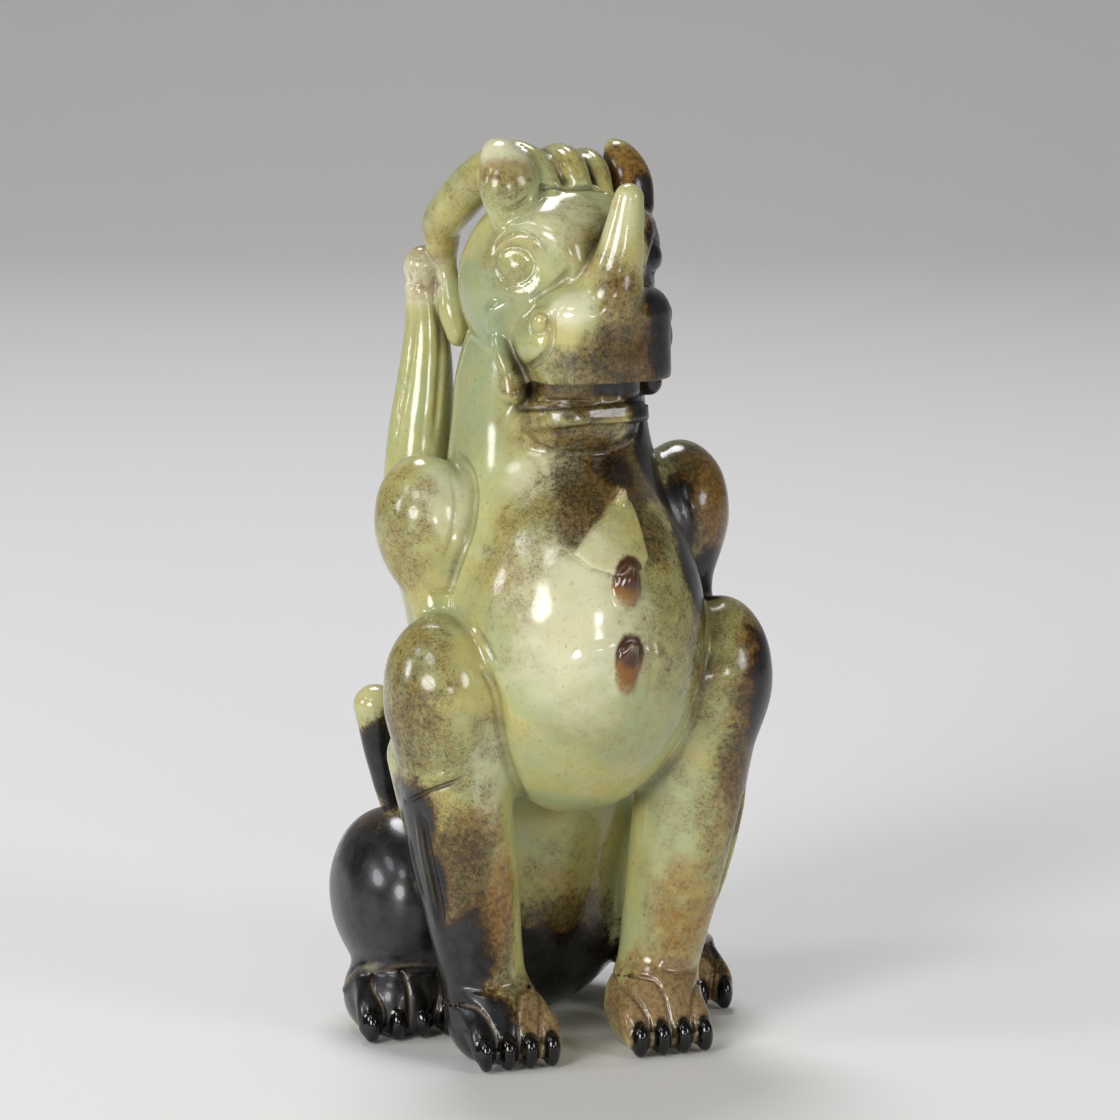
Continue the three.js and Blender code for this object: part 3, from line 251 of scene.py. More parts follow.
# Lights: name, degrees right of the camera, degrees above it, distance, width, height, watts, tint
LIGHTS = [
    ("key", -33, 4, 1.1, 0.46, 0.36, 6.5, (1.0, 0.99, 0.97)),
    ("fill", 14, -3, 1.3, 0.22, 0.15, 1.6, (1.0, 1.0, 1.0)),
    ("front_top", -30, 31, 1.0, 0.28, 0.20, 1.2, (0.97, 0.96, 1.0)),
    ("rear_top", -160, 70, 1.0, 0.44, 0.40, 5.0, (0.95, 0.95, 1.0)),
    ("side_high", -61, 33, 1.0, 0.22, 0.18, 0.7, (0.94, 0.92, 1.0)),
    ("side_low", -75, 13, 1.0, 0.22, 0.24, 1.8, (0.96, 0.96, 1.0)),
    ("far", 52, 10, 1.1, 0.36, 0.36, 3.0, (0.97, 0.97, 1.0)),
]
AIR = 0.10
VIEW = "Standard"

# ------------------------------------------------------------------ distance field
F32 = np.float32
FAR = 9.0


def turn(yaw=0, pitch=0, roll=0):
    """Rotation about Z, then X, then Y, in degrees."""
    a, b, c = [math.radians(v) for v in (yaw, pitch, roll)]
    rz = np.array([[math.cos(a), -math.sin(a), 0], [math.sin(a), math.cos(a), 0], [0, 0, 1]])
    rx = np.array([[1, 0, 0], [0, math.cos(b), -math.sin(b)], [0, math.sin(b), math.cos(b)]])
    ry = np.array([[math.cos(c), 0, math.sin(c)], [0, 1, 0], [-math.sin(c), 0, math.cos(c)]])
    return rz @ rx @ ry


def flow(stations, n):
    """Smooth path through rows of [x, y, z, ...], n steps a span."""
    A = np.array(stations, float)
    if len(A) == 2:
        t = np.linspace(0, 1, n + 1)[:, None]
        return A[0] * (1 - t) + A[1] * t
    out, m = [], len(A) - 1
    for i in range(m):
        p0 = A[i - 1] if i > 0 else 2 * A[0] - A[1]
        p1, p2 = A[i], A[i + 1]
        p3 = A[i + 2] if i + 2 <= m else 2 * A[m] - A[m - 1]
        for j in range(n if i < m - 1 else n + 1):
            t = j / n
            out.append(0.5 * (2 * p1 + (p2 - p0) * t + (2 * p0 - 5 * p1 + 4 * p2 - p3) * t * t
                              + (3 * p1 - p0 - 3 * p2 + p3) * t ** 3))
    return np.array(out)


class Form:
    def __init__(self, low, high, h):
        self.h, self.low = h, np.array(low, float)
        self.n = [int(math.ceil((high[i] - low[i]) / h)) + 1 for i in range(3)]
        self.ax = [(low[i] + h * np.arange(self.n[i])).astype(F32) for i in range(3)]
        self.d = np.full(self.n, FAR, F32)
        self.reach = 1.0                           # how far past its own blend a form is worked out
        self.place()

    def place(self, at=(0, 0, 0), angles=(0, 0, 0)):
        self.R, self.t = turn(*angles), np.array(at, float)

    def world(self, p):
        return np.asarray(p, float) @ self.R.T + self.t

    def box(self, lo, hi, inside=None):
        out = []
        for i in range(3):
            a = max(0, int(math.floor((lo[i] - self.low[i]) / self.h)))
            b = min(self.n[i], int(math.ceil((hi[i] - self.low[i]) / self.h)) + 1)
            if inside is not None:
                a, b = max(a, inside[i].start), min(b, inside[i].stop)
            if b <= a:
                return None
            out.append(slice(a, b))
        return tuple(out)

    def grid(self, s):
        return self.ax[0][s[0]][:, None, None], self.ax[1][s[1]][None, :, None], self.ax[2][s[2]][None, None, :]

    def join(self, s, v, k, cut=False):
        """Adds (or cuts away) the distances v in block s, blended over width k."""
        u = self.d[s]
        w = -v if cut else v
        soft = 0
        if k > 0:
            soft = np.maximum(F32(k) - np.abs(u - w), 0) * F32(1 / k)
            soft = soft * soft * F32(k / 4)
        self.d[s] = (np.maximum(u, w) + soft) if cut else (np.minimum(u, w) - soft)

    def local(self, s, c, R):
        X, Y, Z = self.grid(s)
        X, Y, Z = X - F32(c[0]), Y - F32(c[1]), Z - F32(c[2])
        return [F32(R[0, i]) * X + F32(R[1, i]) * Y + F32(R[2, i]) * Z for i in range(3)]

    def egg(self, c, r, k, angles=(0, 0, 0), cut=False):
        C, R, r = self.world(c), self.R @ turn(*angles), np.array(r, float)
        e = np.sqrt(((R * r[None, :]) ** 2).sum(1)) + k + self.reach + 2 * self.h
        s = self.box(C - e, C + e)
        if s is None:
            return
        a = b = 0
        for q, ri in zip(self.local(s, C, R), r):
            q0 = q * F32(1 / ri)
            a = a + q0 * q0
            q0 = q0 * F32(1 / ri)
            b = b + q0 * q0
        a = np.sqrt(a)
        self.join(s, a * (a - 1) / (np.sqrt(b) + F32(1e-6)), k, cut)

    def plate(self, c, half, rp, rz, k, cut=False):
        """Slab with a rounded-rectangle outline (corner radius rp) and rounded edges (rz)."""
        C, R, half = self.world(c), self.R, np.array(half, float)
        e = (np.abs(R) * half[None, :]).sum(1) + k + self.reach + 2 * self.h
        s = self.box(C - e, C + e)
        q = self.local(s, C, R)
        u, v = np.abs(q[0]) - F32(half[0] - rp), np.abs(q[1]) - F32(half[1] - rp)
        o = np.sqrt(np.maximum(u, 0) ** 2 + np.maximum(v, 0) ** 2) + np.minimum(np.maximum(u, v), 0) - F32(rp)
        a, b = o + F32(rz), np.abs(q[2]) - F32(half[2] - rz)
        self.join(s, np.minimum(np.maximum(a, b), 0)
                  + np.sqrt(np.maximum(a, 0) ** 2 + np.maximum(b, 0) ** 2) - F32(rz), k, cut)

    def bones(self, P, r, k, flat=None, cut=False):
        """Tapered tube through world points P with radii r."""
        m = k + self.reach + 2 * self.h
        g, v, f = 0.0, np.zeros(3), 1.0
        if flat is not None:
            v = self.R @ np.array(flat[0], float)
            v /= np.linalg.norm(v)
            g, f = 1 / flat[1] - 1, math.sqrt(flat[1])
        s = self.box((P - r[:, None]).min(0) - m, (P + r[:, None]).max(0) + m)
        if s is None:
            return
        near = np.full([q.stop - q.start for q in s], FAR, F32)
        for a, b, ra, rb in zip(P[:-1], P[1:], r[:-1], r[1:]):
            reach = max(ra, rb) + m
            s2 = self.box(np.minimum(a, b) - reach, np.maximum(a, b) + reach, s)
            if s2 is None:
                continue
            X, Y, Z = self.grid(s2)
            px, py, pz = X - F32(a[0]), Y - F32(a[1]), Z - F32(a[2])
            ba = b - a
            if g:
                w = (px * F32(v[0]) + py * F32(v[1]) + pz * F32(v[2])) * F32(g)
                px, py, pz = px + w * F32(v[0]), py + w * F32(v[1]), pz + w * F32(v[2])
                ba = ba + g * (ba @ v) * v
            t = np.clip((px * F32(ba[0]) + py * F32(ba[1]) + pz * F32(ba[2])) * F32(1 / (ba @ ba + 1e-9)), 0, 1)
            px, py, pz = px - t * F32(ba[0]), py - t * F32(ba[1]), pz - t * F32(ba[2])
            l = (np.sqrt(px * px + py * py + pz * pz) - (F32(ra) + t * F32(rb - ra))) * F32(f)
            o = tuple(slice(s2[j].start - s[j].start, s2[j].stop - s[j].start) for j in range(3))
            near[o] = np.minimum(near[o], l)
        self.join(s, near, k, cut)

    def tube(self, path, k, flat=None, n=12):
        A = flow(path, n)
        self.bones(self.world(A[:, :3]), np.maximum(A[:, 3], 0.15), k, flat)

    def lift(self, corners, height, edge, k):
        """Raises the front surface inside a convex outline of [x, z] corners."""
        C = np.array(corners, float)
        s = self.box([C[:, 0].min() - 1.5, -30, C[:, 1].min() - 1.5], [C[:, 0].max() + 1.5, -13, C[:, 1].max() + 1.5])
        X, _, Z = self.grid(s)
        o = F32(-FAR)
        for a, b in zip(C, np.roll(C, -1, 0)):
            e = (b - a) / np.linalg.norm(b - a)
            o = np.maximum(o, (X - F32(a[0])) * F32(e[1]) - (Z - F32(a[1])) * F32(e[0]))
        top = self.d[s] - F32(height)
        soft = np.maximum(F32(edge) - np.abs(top - o), 0) * F32(1 / edge)
        self.join(s, np.maximum(top, o) + soft * soft * F32(edge / 4), k)

    # reading the field back at free points
    def at(self, P):
        q = (P - self.low) / self.h
        i = np.clip(np.floor(q).astype(np.int64), 0, np.array(self.n) - 2)
        t = np.clip(q - i, 0, 1)
        out = 0
        for a in (0, 1):
            for b in (0, 1):
                for c in (0, 1):
                    w = ((t[:, 0] if a else 1 - t[:, 0]) * (t[:, 1] if b else 1 - t[:, 1])
                         * (t[:, 2] if c else 1 - t[:, 2]))
                    out = out + w * self.d[i[:, 0] + a, i[:, 1] + b, i[:, 2] + c]
        return out

    def slope(self, P, e):
        g = np.stack([self.at(P + d) - self.at(P - d) for d in np.eye(3) * e], 1)
        return g / (2 * e)

    def normal(self, P, e):
        g = self.slope(P, e)
        return g / np.maximum(np.linalg.norm(g, axis=1), 1e-6)[:, None]

    def settle(self, P, rounds=4, e=0.4):
        """Moves points onto the surface."""
        P = np.array(P, float)
        for _ in range(rounds):
            P -= self.normal(P, e) * np.clip(self.at(P), -1.5, 1.5)[:, None]
        return P

    # lines cut into the surface and beads raised on it, along a path that is settled on it first
    def line(self, path, width, depth, k=0.15, n=6, ends=(1, 1), raise_it=False):
        P = self.settle(self.world(flow(path, n)[:, :3]))
        N = self.normal(P, 0.5)
        u = np.linspace(0, 1, len(P))
        fade = np.ones(len(P))
        if ends[0]:
            fade *= np.clip(u / 0.22, 0, 1) ** 0.7
        if ends[1]:
            fade *= np.clip((1 - u) / 0.22, 0, 1) ** 0.7
        r = np.maximum(width * (0.45 + 0.55 * fade), 0.1)
        go = depth * fade
        off = (go - r) if raise_it else (r - go)
        self.bones(P + N * off[:, None], r, k, cut=not raise_it)

# ------------------------------------------------------------------ the carving, form by form
def side(path, s, dx=0.0):
    return [[s * (p[0] - dx)] + list(p[1:]) for p in path]


def head(f):
    egg = lambda e, k, s=1, a=(0, 0, 0): f.egg([s * e[0][0]] + e[0][1:], e[1], k, a)
    f.place(HEAD_AT, HEAD_TURN)
    f.plate(*MUZZLE, 0)
    egg(MUZZLE_TOP, 1.5)
    f.plate(*MOUTH_CUT, 0.12, cut=True)
    f.plate(*TOOTH_BAND, 0.3)
    f.place(HEAD_AT, [HEAD_TURN[0], HEAD_TURN[1] + LIP_TILT])
    f.plate(*LOWER_LIP, 0.3)
    f.place(HEAD_AT, HEAD_TURN)
    egg(JAW, 0.6)
    egg(CRANIUM, 2.2)
    egg(FOREHEAD, 3)
    for s in (-1, 1):
        out = LEFT_BROW_OUT if s > 0 else 0
        f.tube(side(BROW, s, -out), 3.0)
        f.egg([s * (EYE[0][0] + out)] + EYE[0][1:], EYE[1], 0.35, (s * 48, 0, 0))
        egg(NOSTRIL, 0.8, s)
        egg(CHEEK_PAD, 1.8, s)
        f.tube(side(MOUTH_FOLD, s), 1.6)
    f.tube(HORN, 0.8)
    f.tube(EAR_RIGHT, 0.8, [[0, 1, 0.3], 0.7])
    f.tube(EAR_LEFT, 0.8, [[0, 1, 0.3], 0.75])
    f.tube(CREST_MID, 0.5)
    f.tube(CREST_LEFT, 0.5)
    f.place()


def toes(f, toe, claw, s, dx, k):
    for i in range(4):
        a = i - 1.5
        f.tube([[s * (t[0] + a * t[1] - dx), t[2], t[3], t[4]] for t in toe], k)
        f.egg([s * (claw[0][0] + a * claw[0][1] - dx), claw[0][2], claw[0][3]], claw[1], 0.25)


def trunk(f):
    """Worked out apart, so that its wide blends don't fill the creases under the head."""
    g = Form(LOW, HIGH, f.h)
    g.reach = FAR
    g.egg(*BELLY, 0)
    g.egg(*CHEST, 6)
    g.egg(*LOINS, 8)
    g.egg(*RUMP, 7)
    g.tube(NECK, 6)
    f.join(tuple(slice(0, n) for n in f.n), g.d, 0.9)


def limbs(f):
    top, low = FORELEG[0][2], FORELEG[-1][2]
    for s in (-1, 1):
        dx = LEFT_LEG_IN if s > 0 else 0
        egg = lambda e, k, a=(0, 0, 0): f.egg([s * e[0][0]] + e[0][1:], e[1], k, a)
        egg(HAUNCH, 2.6)
        egg(HIND_FOOT, 1.4)
        f.tube(side(ANKLE_RIM, s), 0.5)
        toes(f, HIND_TOE, HIND_CLAW, s, 0, 1.0)
        f.tube([[s * (p[0] - dx * (top - p[2]) / (top - low))] + p[1:] for p in FORELEG], 3)
        f.egg([s * (PAW[0][0] - dx)] + PAW[0][1:], PAW[1], 3)
        f.tube(side(FRINGE, s), 0.8, [[1, 0.35, 0], 0.6])
        toes(f, PAW_TOE, PAW_CLAW, s, dx, 1.0)
        egg(SHOULDER, 2.0, (0, 0, s * 6))
        f.tube(side(UPPER_ARM, s), 1.6)
        egg(ELBOW, 1.4, (0, 0, s * 4))


def plume(f):
    f.tube(TAIL, 1.6)
    f.egg(*TAIL_TIP, 0.3)
    f.tube(MANE_LOCK, 0.6)
    f.tube(LOCK_END, 0.5)
    f.tube(TAIL_SPUR, 1.0)


def scales(f):
    f.lift(SCALE_OUTLINE, SCALE_RISE, 0.5, 0.3)
    f.tube(PLATE_TOP, 0.5)
    f.tube(PLATE_MID, 0.5)
    f.tube(PLATE_LOW, 0.5)

# ------------------------------------------------------------------ fine relief
def ring_path(centre, out, radius, squash=1.0, start=0, sweep=360, n=20):
    """Points of a circle round a centre, in the plane across `out`."""
    out = np.array(out, float) / np.linalg.norm(out)
    a = np.cross(out, [0, 0, 1.0])
    a /= np.linalg.norm(a)
    b = np.cross(a, out)
    t = np.radians(start + np.linspace(0, sweep, n))
    return np.array(centre, float) + radius * (np.cos(t)[:, None] * a + squash * np.sin(t)[:, None] * b)


def lines(f, table, both=True):
    for kind, width, depth, k, ends, mirrored, path in table.values():
        for s in ((1, -1) if mirrored and both else (1,)):
            f.line(side(path, s), width, depth, k, 6, ends, kind == "add")


def fine_head(f):
    f.place(HEAD_AT, HEAD_TURN)
    lines(f, HEAD_LINES)
    for s in (-1, 1):
        c, o = [s * EYE_RING[0][0]] + EYE_RING[0][1:], [s * EYE_RING[1][0]] + EYE_RING[1][1:]
        f.line(ring_path(c, o, EYE_RING[2], 0.88, n=26), 0.3, 0.24, 0.12, 2, (0, 0))
        f.line(ring_path(c, o, EYE_RING[2] + 0.7, 0.95, 200, 110, 12), 0.26, 0.12, 0.2, 3)
        c, o = [s * NOSE_RING[0][0]] + NOSE_RING[0][1:], [s * NOSE_RING[1][0]] + NOSE_RING[1][1:]
        f.line(ring_path(c, o, NOSE_RING[2], 1.1, n=22), 0.3, 0.28, 0.12, 2, (0, 0))
        # tooth ticks on the band and the lower lip
        for x in np.arange(1.2, 6.0, 2.3):
            f.line([[s * x, -13.4, -11.6], [s * x, -13.4, -13.2]], 0.16, 0.22, 0.05, 3, (0, 0))
    # strands of the forelock and mane
    for path, offs in ((CREST_MID, (-0.75, 0.75)), (CREST_LEFT, (-0.7, 0.7))):
        for o in offs:
            f.line([[p[0] + o * p[3] / 2, p[1] - 0.4, p[2] + p[3] * 0.9] for p in path], 0.22, 0.25, 0.15, 5)
    f.place()


TOES = [(s, toe, d * (s > 0)) for s in (-1, 1) for toe, d in ((PAW_TOE, LEFT_LEG_IN), (HIND_TOE, 0))]


def fine_body(f):
    lines(f, BODY_LINES)
    # flutes along the mane lock
    for o in (-0.55, 0.55):
        f.line([[p[0] + o * p[3] * 0.8, p[1], p[2] + p[3] * 0.9] for p in MANE_LOCK[1:6]], 0.3, 0.22, 0.3, 6)
    # spine: a shallow double line down the back
    for s in (-1, 1):
        f.line([[s * 1.6, p[0], p[1]] for p in SPINE], 0.5, 0.28, 0.5, 6)
    # two long flutes up the back of the tail
    for o in (-0.45, 0.45):
        f.line([[p[0] + o * p[3], p[1] + 0.9 * p[3], p[2]] for p in TAIL[1:-1]], 0.45, 0.3, 0.5, 8)
    # creases between the toes, run back to the wrists
    for s, toe, d in TOES:
        for a in (-1, 0, 1):
            f.line([[s * (t[0] + a * t[1] - d), t[2] + 0.6, t[3] + 0.6] for t in toe], 0.3, 0.38, 0.2, 5, (1, 0))

# ------------------------------------------------------------------ skin
def ripple(f):
    """The slight unevenness of a hand-ground, polished surface."""
    X, Y, Z = f.ax[0][:, None, None], f.ax[1][None, :, None], f.ax[2][None, None, :]
    w = 0
    for amp, size, seed in RIPPLES:
        a, b, c = [2 * math.pi / size * v for v in (math.sin(seed), math.cos(seed * 1.7), math.sin(seed * 2.3 + 1))]
        w = w + F32(amp) * np.sin(F32(a) * X + F32(b) * Y + F32(c) * Z + F32(seed))
    f.d += w.astype(F32)


def skin(f):
    g = openvdb.FloatGrid(8.0)
    g.copyFromArray(np.ascontiguousarray(f.d))
    pts, quads = g.convertToQuads(0.0)
    P = pts.astype(float) * f.h + f.low
    Q = quads.astype(np.int64)
    # largest shell
    nv = len(P)
    lab = np.arange(nv)
    while True:
        m = lab[Q].min(1)
        new = lab.copy()
        for j in range(4):
            np.minimum.at(new, Q[:, j], m)
        new = new[new]
        if np.array_equal(new, lab):
            break
        lab = new
    big = np.bincount(lab).argmax()
    Q = Q[lab[Q[:, 0]] == big]
    used = np.unique(Q)
    remap = np.full(nv, -1)
    remap[used] = np.arange(len(used))
    P, Q = P[used], remap[Q]
    a, b, c, d = (P[Q[:, i]] for i in range(4))
    if (np.cross(b - a, c - a) * a).sum() + (np.cross(c - a, d - a) * a).sum() < 0:   # faces point outwards
        Q = Q[:, ::-1]
    return P, Q


def mesh_of(name, P, faces):
    me = bpy.data.meshes.new(name)
    k = faces.shape[1]
    me.vertices.add(len(P))
    me.vertices.foreach_set("co", P.astype(np.float32).ravel())
    me.loops.add(faces.size)
    me.loops.foreach_set("vertex_index", faces.astype(np.int32).ravel())
    me.polygons.add(len(faces))
    me.polygons.foreach_set("loop_start", np.arange(0, faces.size, k, dtype=np.int32))
    me.update(calc_edges=True)
    me.validate()
    return me

# ------------------------------------------------------------------ where the stone's colours lie
def waves(P, size, seed, turns=5):
    """Smooth random-looking field, about -1 to 1, with features of the given size."""
    w = 0
    for i in range(turns):
        a = seed * 1.3 + i * 2.1
        v = np.array([math.sin(a), math.cos(a * 1.9), math.sin(a * 2.7 + 1)])
        v *= 2 * math.pi / (size * (0.7 + 0.25 * i)) / np.linalg.norm(v)
        w = w + np.sin(P @ v + a * 5 + 1.2 * np.sin(P @ v[[1, 2, 0]] * 0.7 + a))
    return w / turns * 1.4


def spread(P, patches, rough=0.22, seed=1.0, soft=0.7):
    """Strength at points P of soft patches [x, y, z, rx, ry, rz, strength]."""
    n = waves(P, 7.0, seed) * 0.6 + waves(P, 2.6, seed + 3) * 0.4
    out = np.zeros(len(P))
    for x, y, z, rx, ry, rz, w in patches:
        q = np.sqrt((((P - [x, y, z]) / [rx, ry, rz]) ** 2).sum(1)) + n * rough
        t = np.clip((1 + soft / 2 - q) / soft, 0, 1)
        out = np.maximum(out, w * t * t * (3 - 2 * t))
    return out


def along(P, paths, near, far):
    """1 within `near` mm of any of the paths, falling to 0 at `far`."""
    out = np.zeros(len(P))
    for path in paths:
        A = flow(path, 6)[:, :3]
        box = ((P > A.min(0) - far) & (P < A.max(0) + far)).all(1)
        q = P[box]
        if len(q):
            d = np.sqrt(((q[:, None, :] - A[None]) ** 2).sum(2)).min(1)
            out[box] = np.maximum(out[box], np.clip((far - d) / (far - near), 0, 1))
    return out


def plate(P, loop, front, fade=0.5):
    """1 on the breast scale, inside the loop of [x, z] corners and forward of y = front."""
    x, z = P[:, 0], P[:, 2]
    best, inside = np.full(len(P), 9.0), np.zeros(len(P), bool)
    for (ax, az), (bx, bz) in zip(loop, loop[1:] + loop[:1]):
        t = np.clip(((x - ax) * (bx - ax) + (z - az) * (bz - az)) / ((bx - ax) ** 2 + (bz - az) ** 2), 0, 1)
        best = np.minimum(best, np.hypot(x - ax - t * (bx - ax), z - az - t * (bz - az)))
        inside ^= ((az > z) != (bz > z)) & (x < (bx - ax) * (z - az) / (bz - az + 1e-9) + ax)
    return np.clip(0.5 + np.where(inside, best, -best) / fade, 0, 1) * (P[:, 1] < front)


def eggs(P, parts, grow=1.0, fade=0.2):
    """1 inside any of the ellipsoids (centre, radii), falling to 0 just past it."""
    out = np.zeros(len(P))
    for c, r in parts:
        q = np.sqrt((((P - c) / (np.array(r) * grow)) ** 2).sum(1))
        out = np.maximum(out, np.clip((1 + fade - q) / fade, 0, 1))
    return out

# ------------------------------------------------------------------ build the carving
form = Form(LOW, HIGH, STEP)
head(form)
trunk(form)
limbs(form)
plume(form)
scales(form)
ripple(form)
fine_head(form)
fine_body(form)
# ground flat below: a narrow rounded edge round each sole
sole = (-form.ax[2][None, None, :]).astype(F32)
soft = np.maximum(F32(0.5) - np.abs(form.d - sole), 0) * F32(2)
form.d = np.maximum(form.d, sole) + soft * soft * F32(0.125)

P, Q = skin(form)
raw = mesh_of("raw", P, Q)
raw_ob = bpy.data.objects.new("raw", raw)
bpy.context.scene.collection.objects.link(raw_ob)
mod = raw_ob.modifiers.new("fewer", "DECIMATE")
mod.ratio = min(1.0, FACES / (2.0 * len(Q)))
bpy.context.view_layer.update()
done = bpy.data.meshes.new_from_object(raw_ob.evaluated_get(bpy.context.evaluated_depsgraph_get()))
bpy.data.objects.remove(raw_ob)
bpy.data.meshes.remove(raw)

V = np.empty(len(done.vertices) * 3, np.float32)
done.vertices.foreach_get("co", V)
V = V.reshape(-1, 3).astype(float)
for _ in range(3):                                    # back onto the exact surface
    g = form.slope(V, form.h)
    l = np.maximum((g ** 2).sum(1), 0.25)
    V -= g * (np.clip(form.at(V), -0.12, 0.12) / l)[:, None]
N = form.normal(V, form.h * 0.9)

# what the surface does near each point: hollows (grime lies in the cut lines, and shade is painted there), deeper
# recesses (painted shade), edges (polish wears there)
hollow_dirt_and_shade = np.clip(1.0 - form.at(V + N * 0.7) / 0.7, 0, 1)
# painted shade: how far a point sits down in a recess
painted_recess_shade = np.clip(1.0 - form.at(V + N * 2.4) / 2.4, 0, 1)
edge = np.clip(1.0 + form.at(V - N * 1.2) / 1.2, 0, 1)

claws, creases = [], []
for s, toe, d in TOES:
    claw = PAW_CLAW if toe is PAW_TOE else HIND_CLAW
    claws += [([s * (claw[0][0] + a * claw[0][1] - d), claw[0][2], claw[0][3]], claw[1]) for a in (-1.5, -0.5, 0.5, 1.5)]
    for a in (-1, 0, 1):
        path = flow([[s * (t[0] + a * t[1] - d), t[2] + 0.6, t[3] + 0.6] for t in toe], 6)
        creases.append(form.settle(path)[:, :3])

creases += [form.settle(flow(side(ANKLE_RIM, s), 6)[:, :3]) for s in (-1, 1)]

scale = plate(V, SCALE_OUTLINE, -8)
marks = {
    "claw": eggs(V, claws, 1.08, 0.18),
    "crease": along(V, creases, 0.05, 0.45),
    "green": spread(V, GREEN, 0.30, 2.0),
    "pale": spread(V, PALE, 0.30, 4.0),
    "olive": np.where(scale > 0.5, np.minimum(spread(V, OLIVE, 0.34, 1.0, 1.0), 0.45), spread(V, OLIVE, 0.34, 1.0, 1.0)),
    "brown": spread(V, BROWN, 0.30, 6.0, 1.0) * (1 - 0.8 * scale),
    "dark": spread(V, DARK, 0.30, 9.0, 1.0) * (1 - scale),
    "russet": spread(V, RUSSET, 0.30, 12.0),
    "sandy": spread(V, SANDY, 0.30, 15.0),
    "nub": along(V, [PLATE_MID, PLATE_LOW], 1.6, 2.4),
    "nubtip": eggs(V, [(PLATE_MID[2][:3], (2, 2, 2)), (PLATE_LOW[2][:3], (2, 2, 2))], 1.0, 0.8),
    "hollow_dirt_and_shade": hollow_dirt_and_shade, "painted_recess_shade": painted_recess_shade, "edge": edge,
}

done.vertices.foreach_set("co", ((V + SHIFT) * 0.001).astype(np.float32).ravel())
for p in done.polygons:
    p.use_smooth = True
done.update()
for name, v in marks.items():
    at = done.attributes.new(name, "FLOAT", "POINT")
    at.data.foreach_set("value", v.astype(np.float32))
done.normals_split_custom_set_from_vertices([tuple(n) for n in N])
carving = bpy.data.objects.new("carving", done)
bpy.context.scene.collection.objects.link(carving)

# ------------------------------------------------------------------ nephrite


def linear(r, g, b):
    return tuple([((c / 255 + 0.055) / 1.055) ** 2.4 if c > 10 else c / 255 / 12.92 for c in (r, g, b)] + [1.0])


class Nodes:
    def __init__(self, name):
        self.m = bpy.data.materials.new(name)
        self.m.use_nodes = True
        self.t = self.m.node_tree
        self.t.nodes.clear()
        self.out = self.t.nodes.new("ShaderNodeOutputMaterial")

    def new(self, kind, **inputs):
        n = self.t.nodes.new("ShaderNode" + kind)
        for k, v in inputs.items():
            self.put(n, k.replace("_", " "), v)
        return n

    def put(self, n, key, v):
        s = n.inputs[int(key[1:])] if key[0] == "#" else n.inputs[key]
        if isinstance(v, bpy.types.NodeSocket):
            self.t.links.new(v, s)
        else:
            s.default_value = v

    def math(self, op, a, b=0.0, c=0.0, clamp=False):
        n = self.t.nodes.new("ShaderNodeMath")
        n.operation, n.use_clamp = op, clamp
        for i, v in enumerate((a, b, c)):
            self.put(n, "#%d" % i, v)
        return n.outputs[0]

    def mix(self, f, a, b, mode="MIX"):
        n = self.t.nodes.new("ShaderNodeMix")
        n.data_type, n.blend_type, n.clamp_factor = "RGBA", mode, True
        self.put(n, "#0", f)
        self.put(n, "#6", a)
        self.put(n, "#7", b)
        return n.outputs[2]

    def ramp(self, v, lo, hi, a=0.0, b=1.0, smooth=True):
        n = self.t.nodes.new("ShaderNodeMapRange")
        n.clamp = True
        n.interpolation_type = "SMOOTHSTEP" if smooth else "LINEAR"
        for i, x in enumerate((v, lo, hi, a, b)):
            self.put(n, "#%d" % i, x)
        return n.outputs[0]

    def noise(self, where, scale, detail=4.0, rough=0.55, twist=0.0, kind=None):
        n = self.new("TexNoise", Vector=where, Scale=scale, Detail=detail, Roughness=rough, Distortion=twist)
        if kind:
            n.noise_type = kind
        return n.outputs["Fac"]

    def mark(self, name):
        n = self.t.nodes.new("ShaderNodeAttribute")
        n.attribute_type, n.attribute_name = "GEOMETRY", name
        return n.outputs["Fac"]


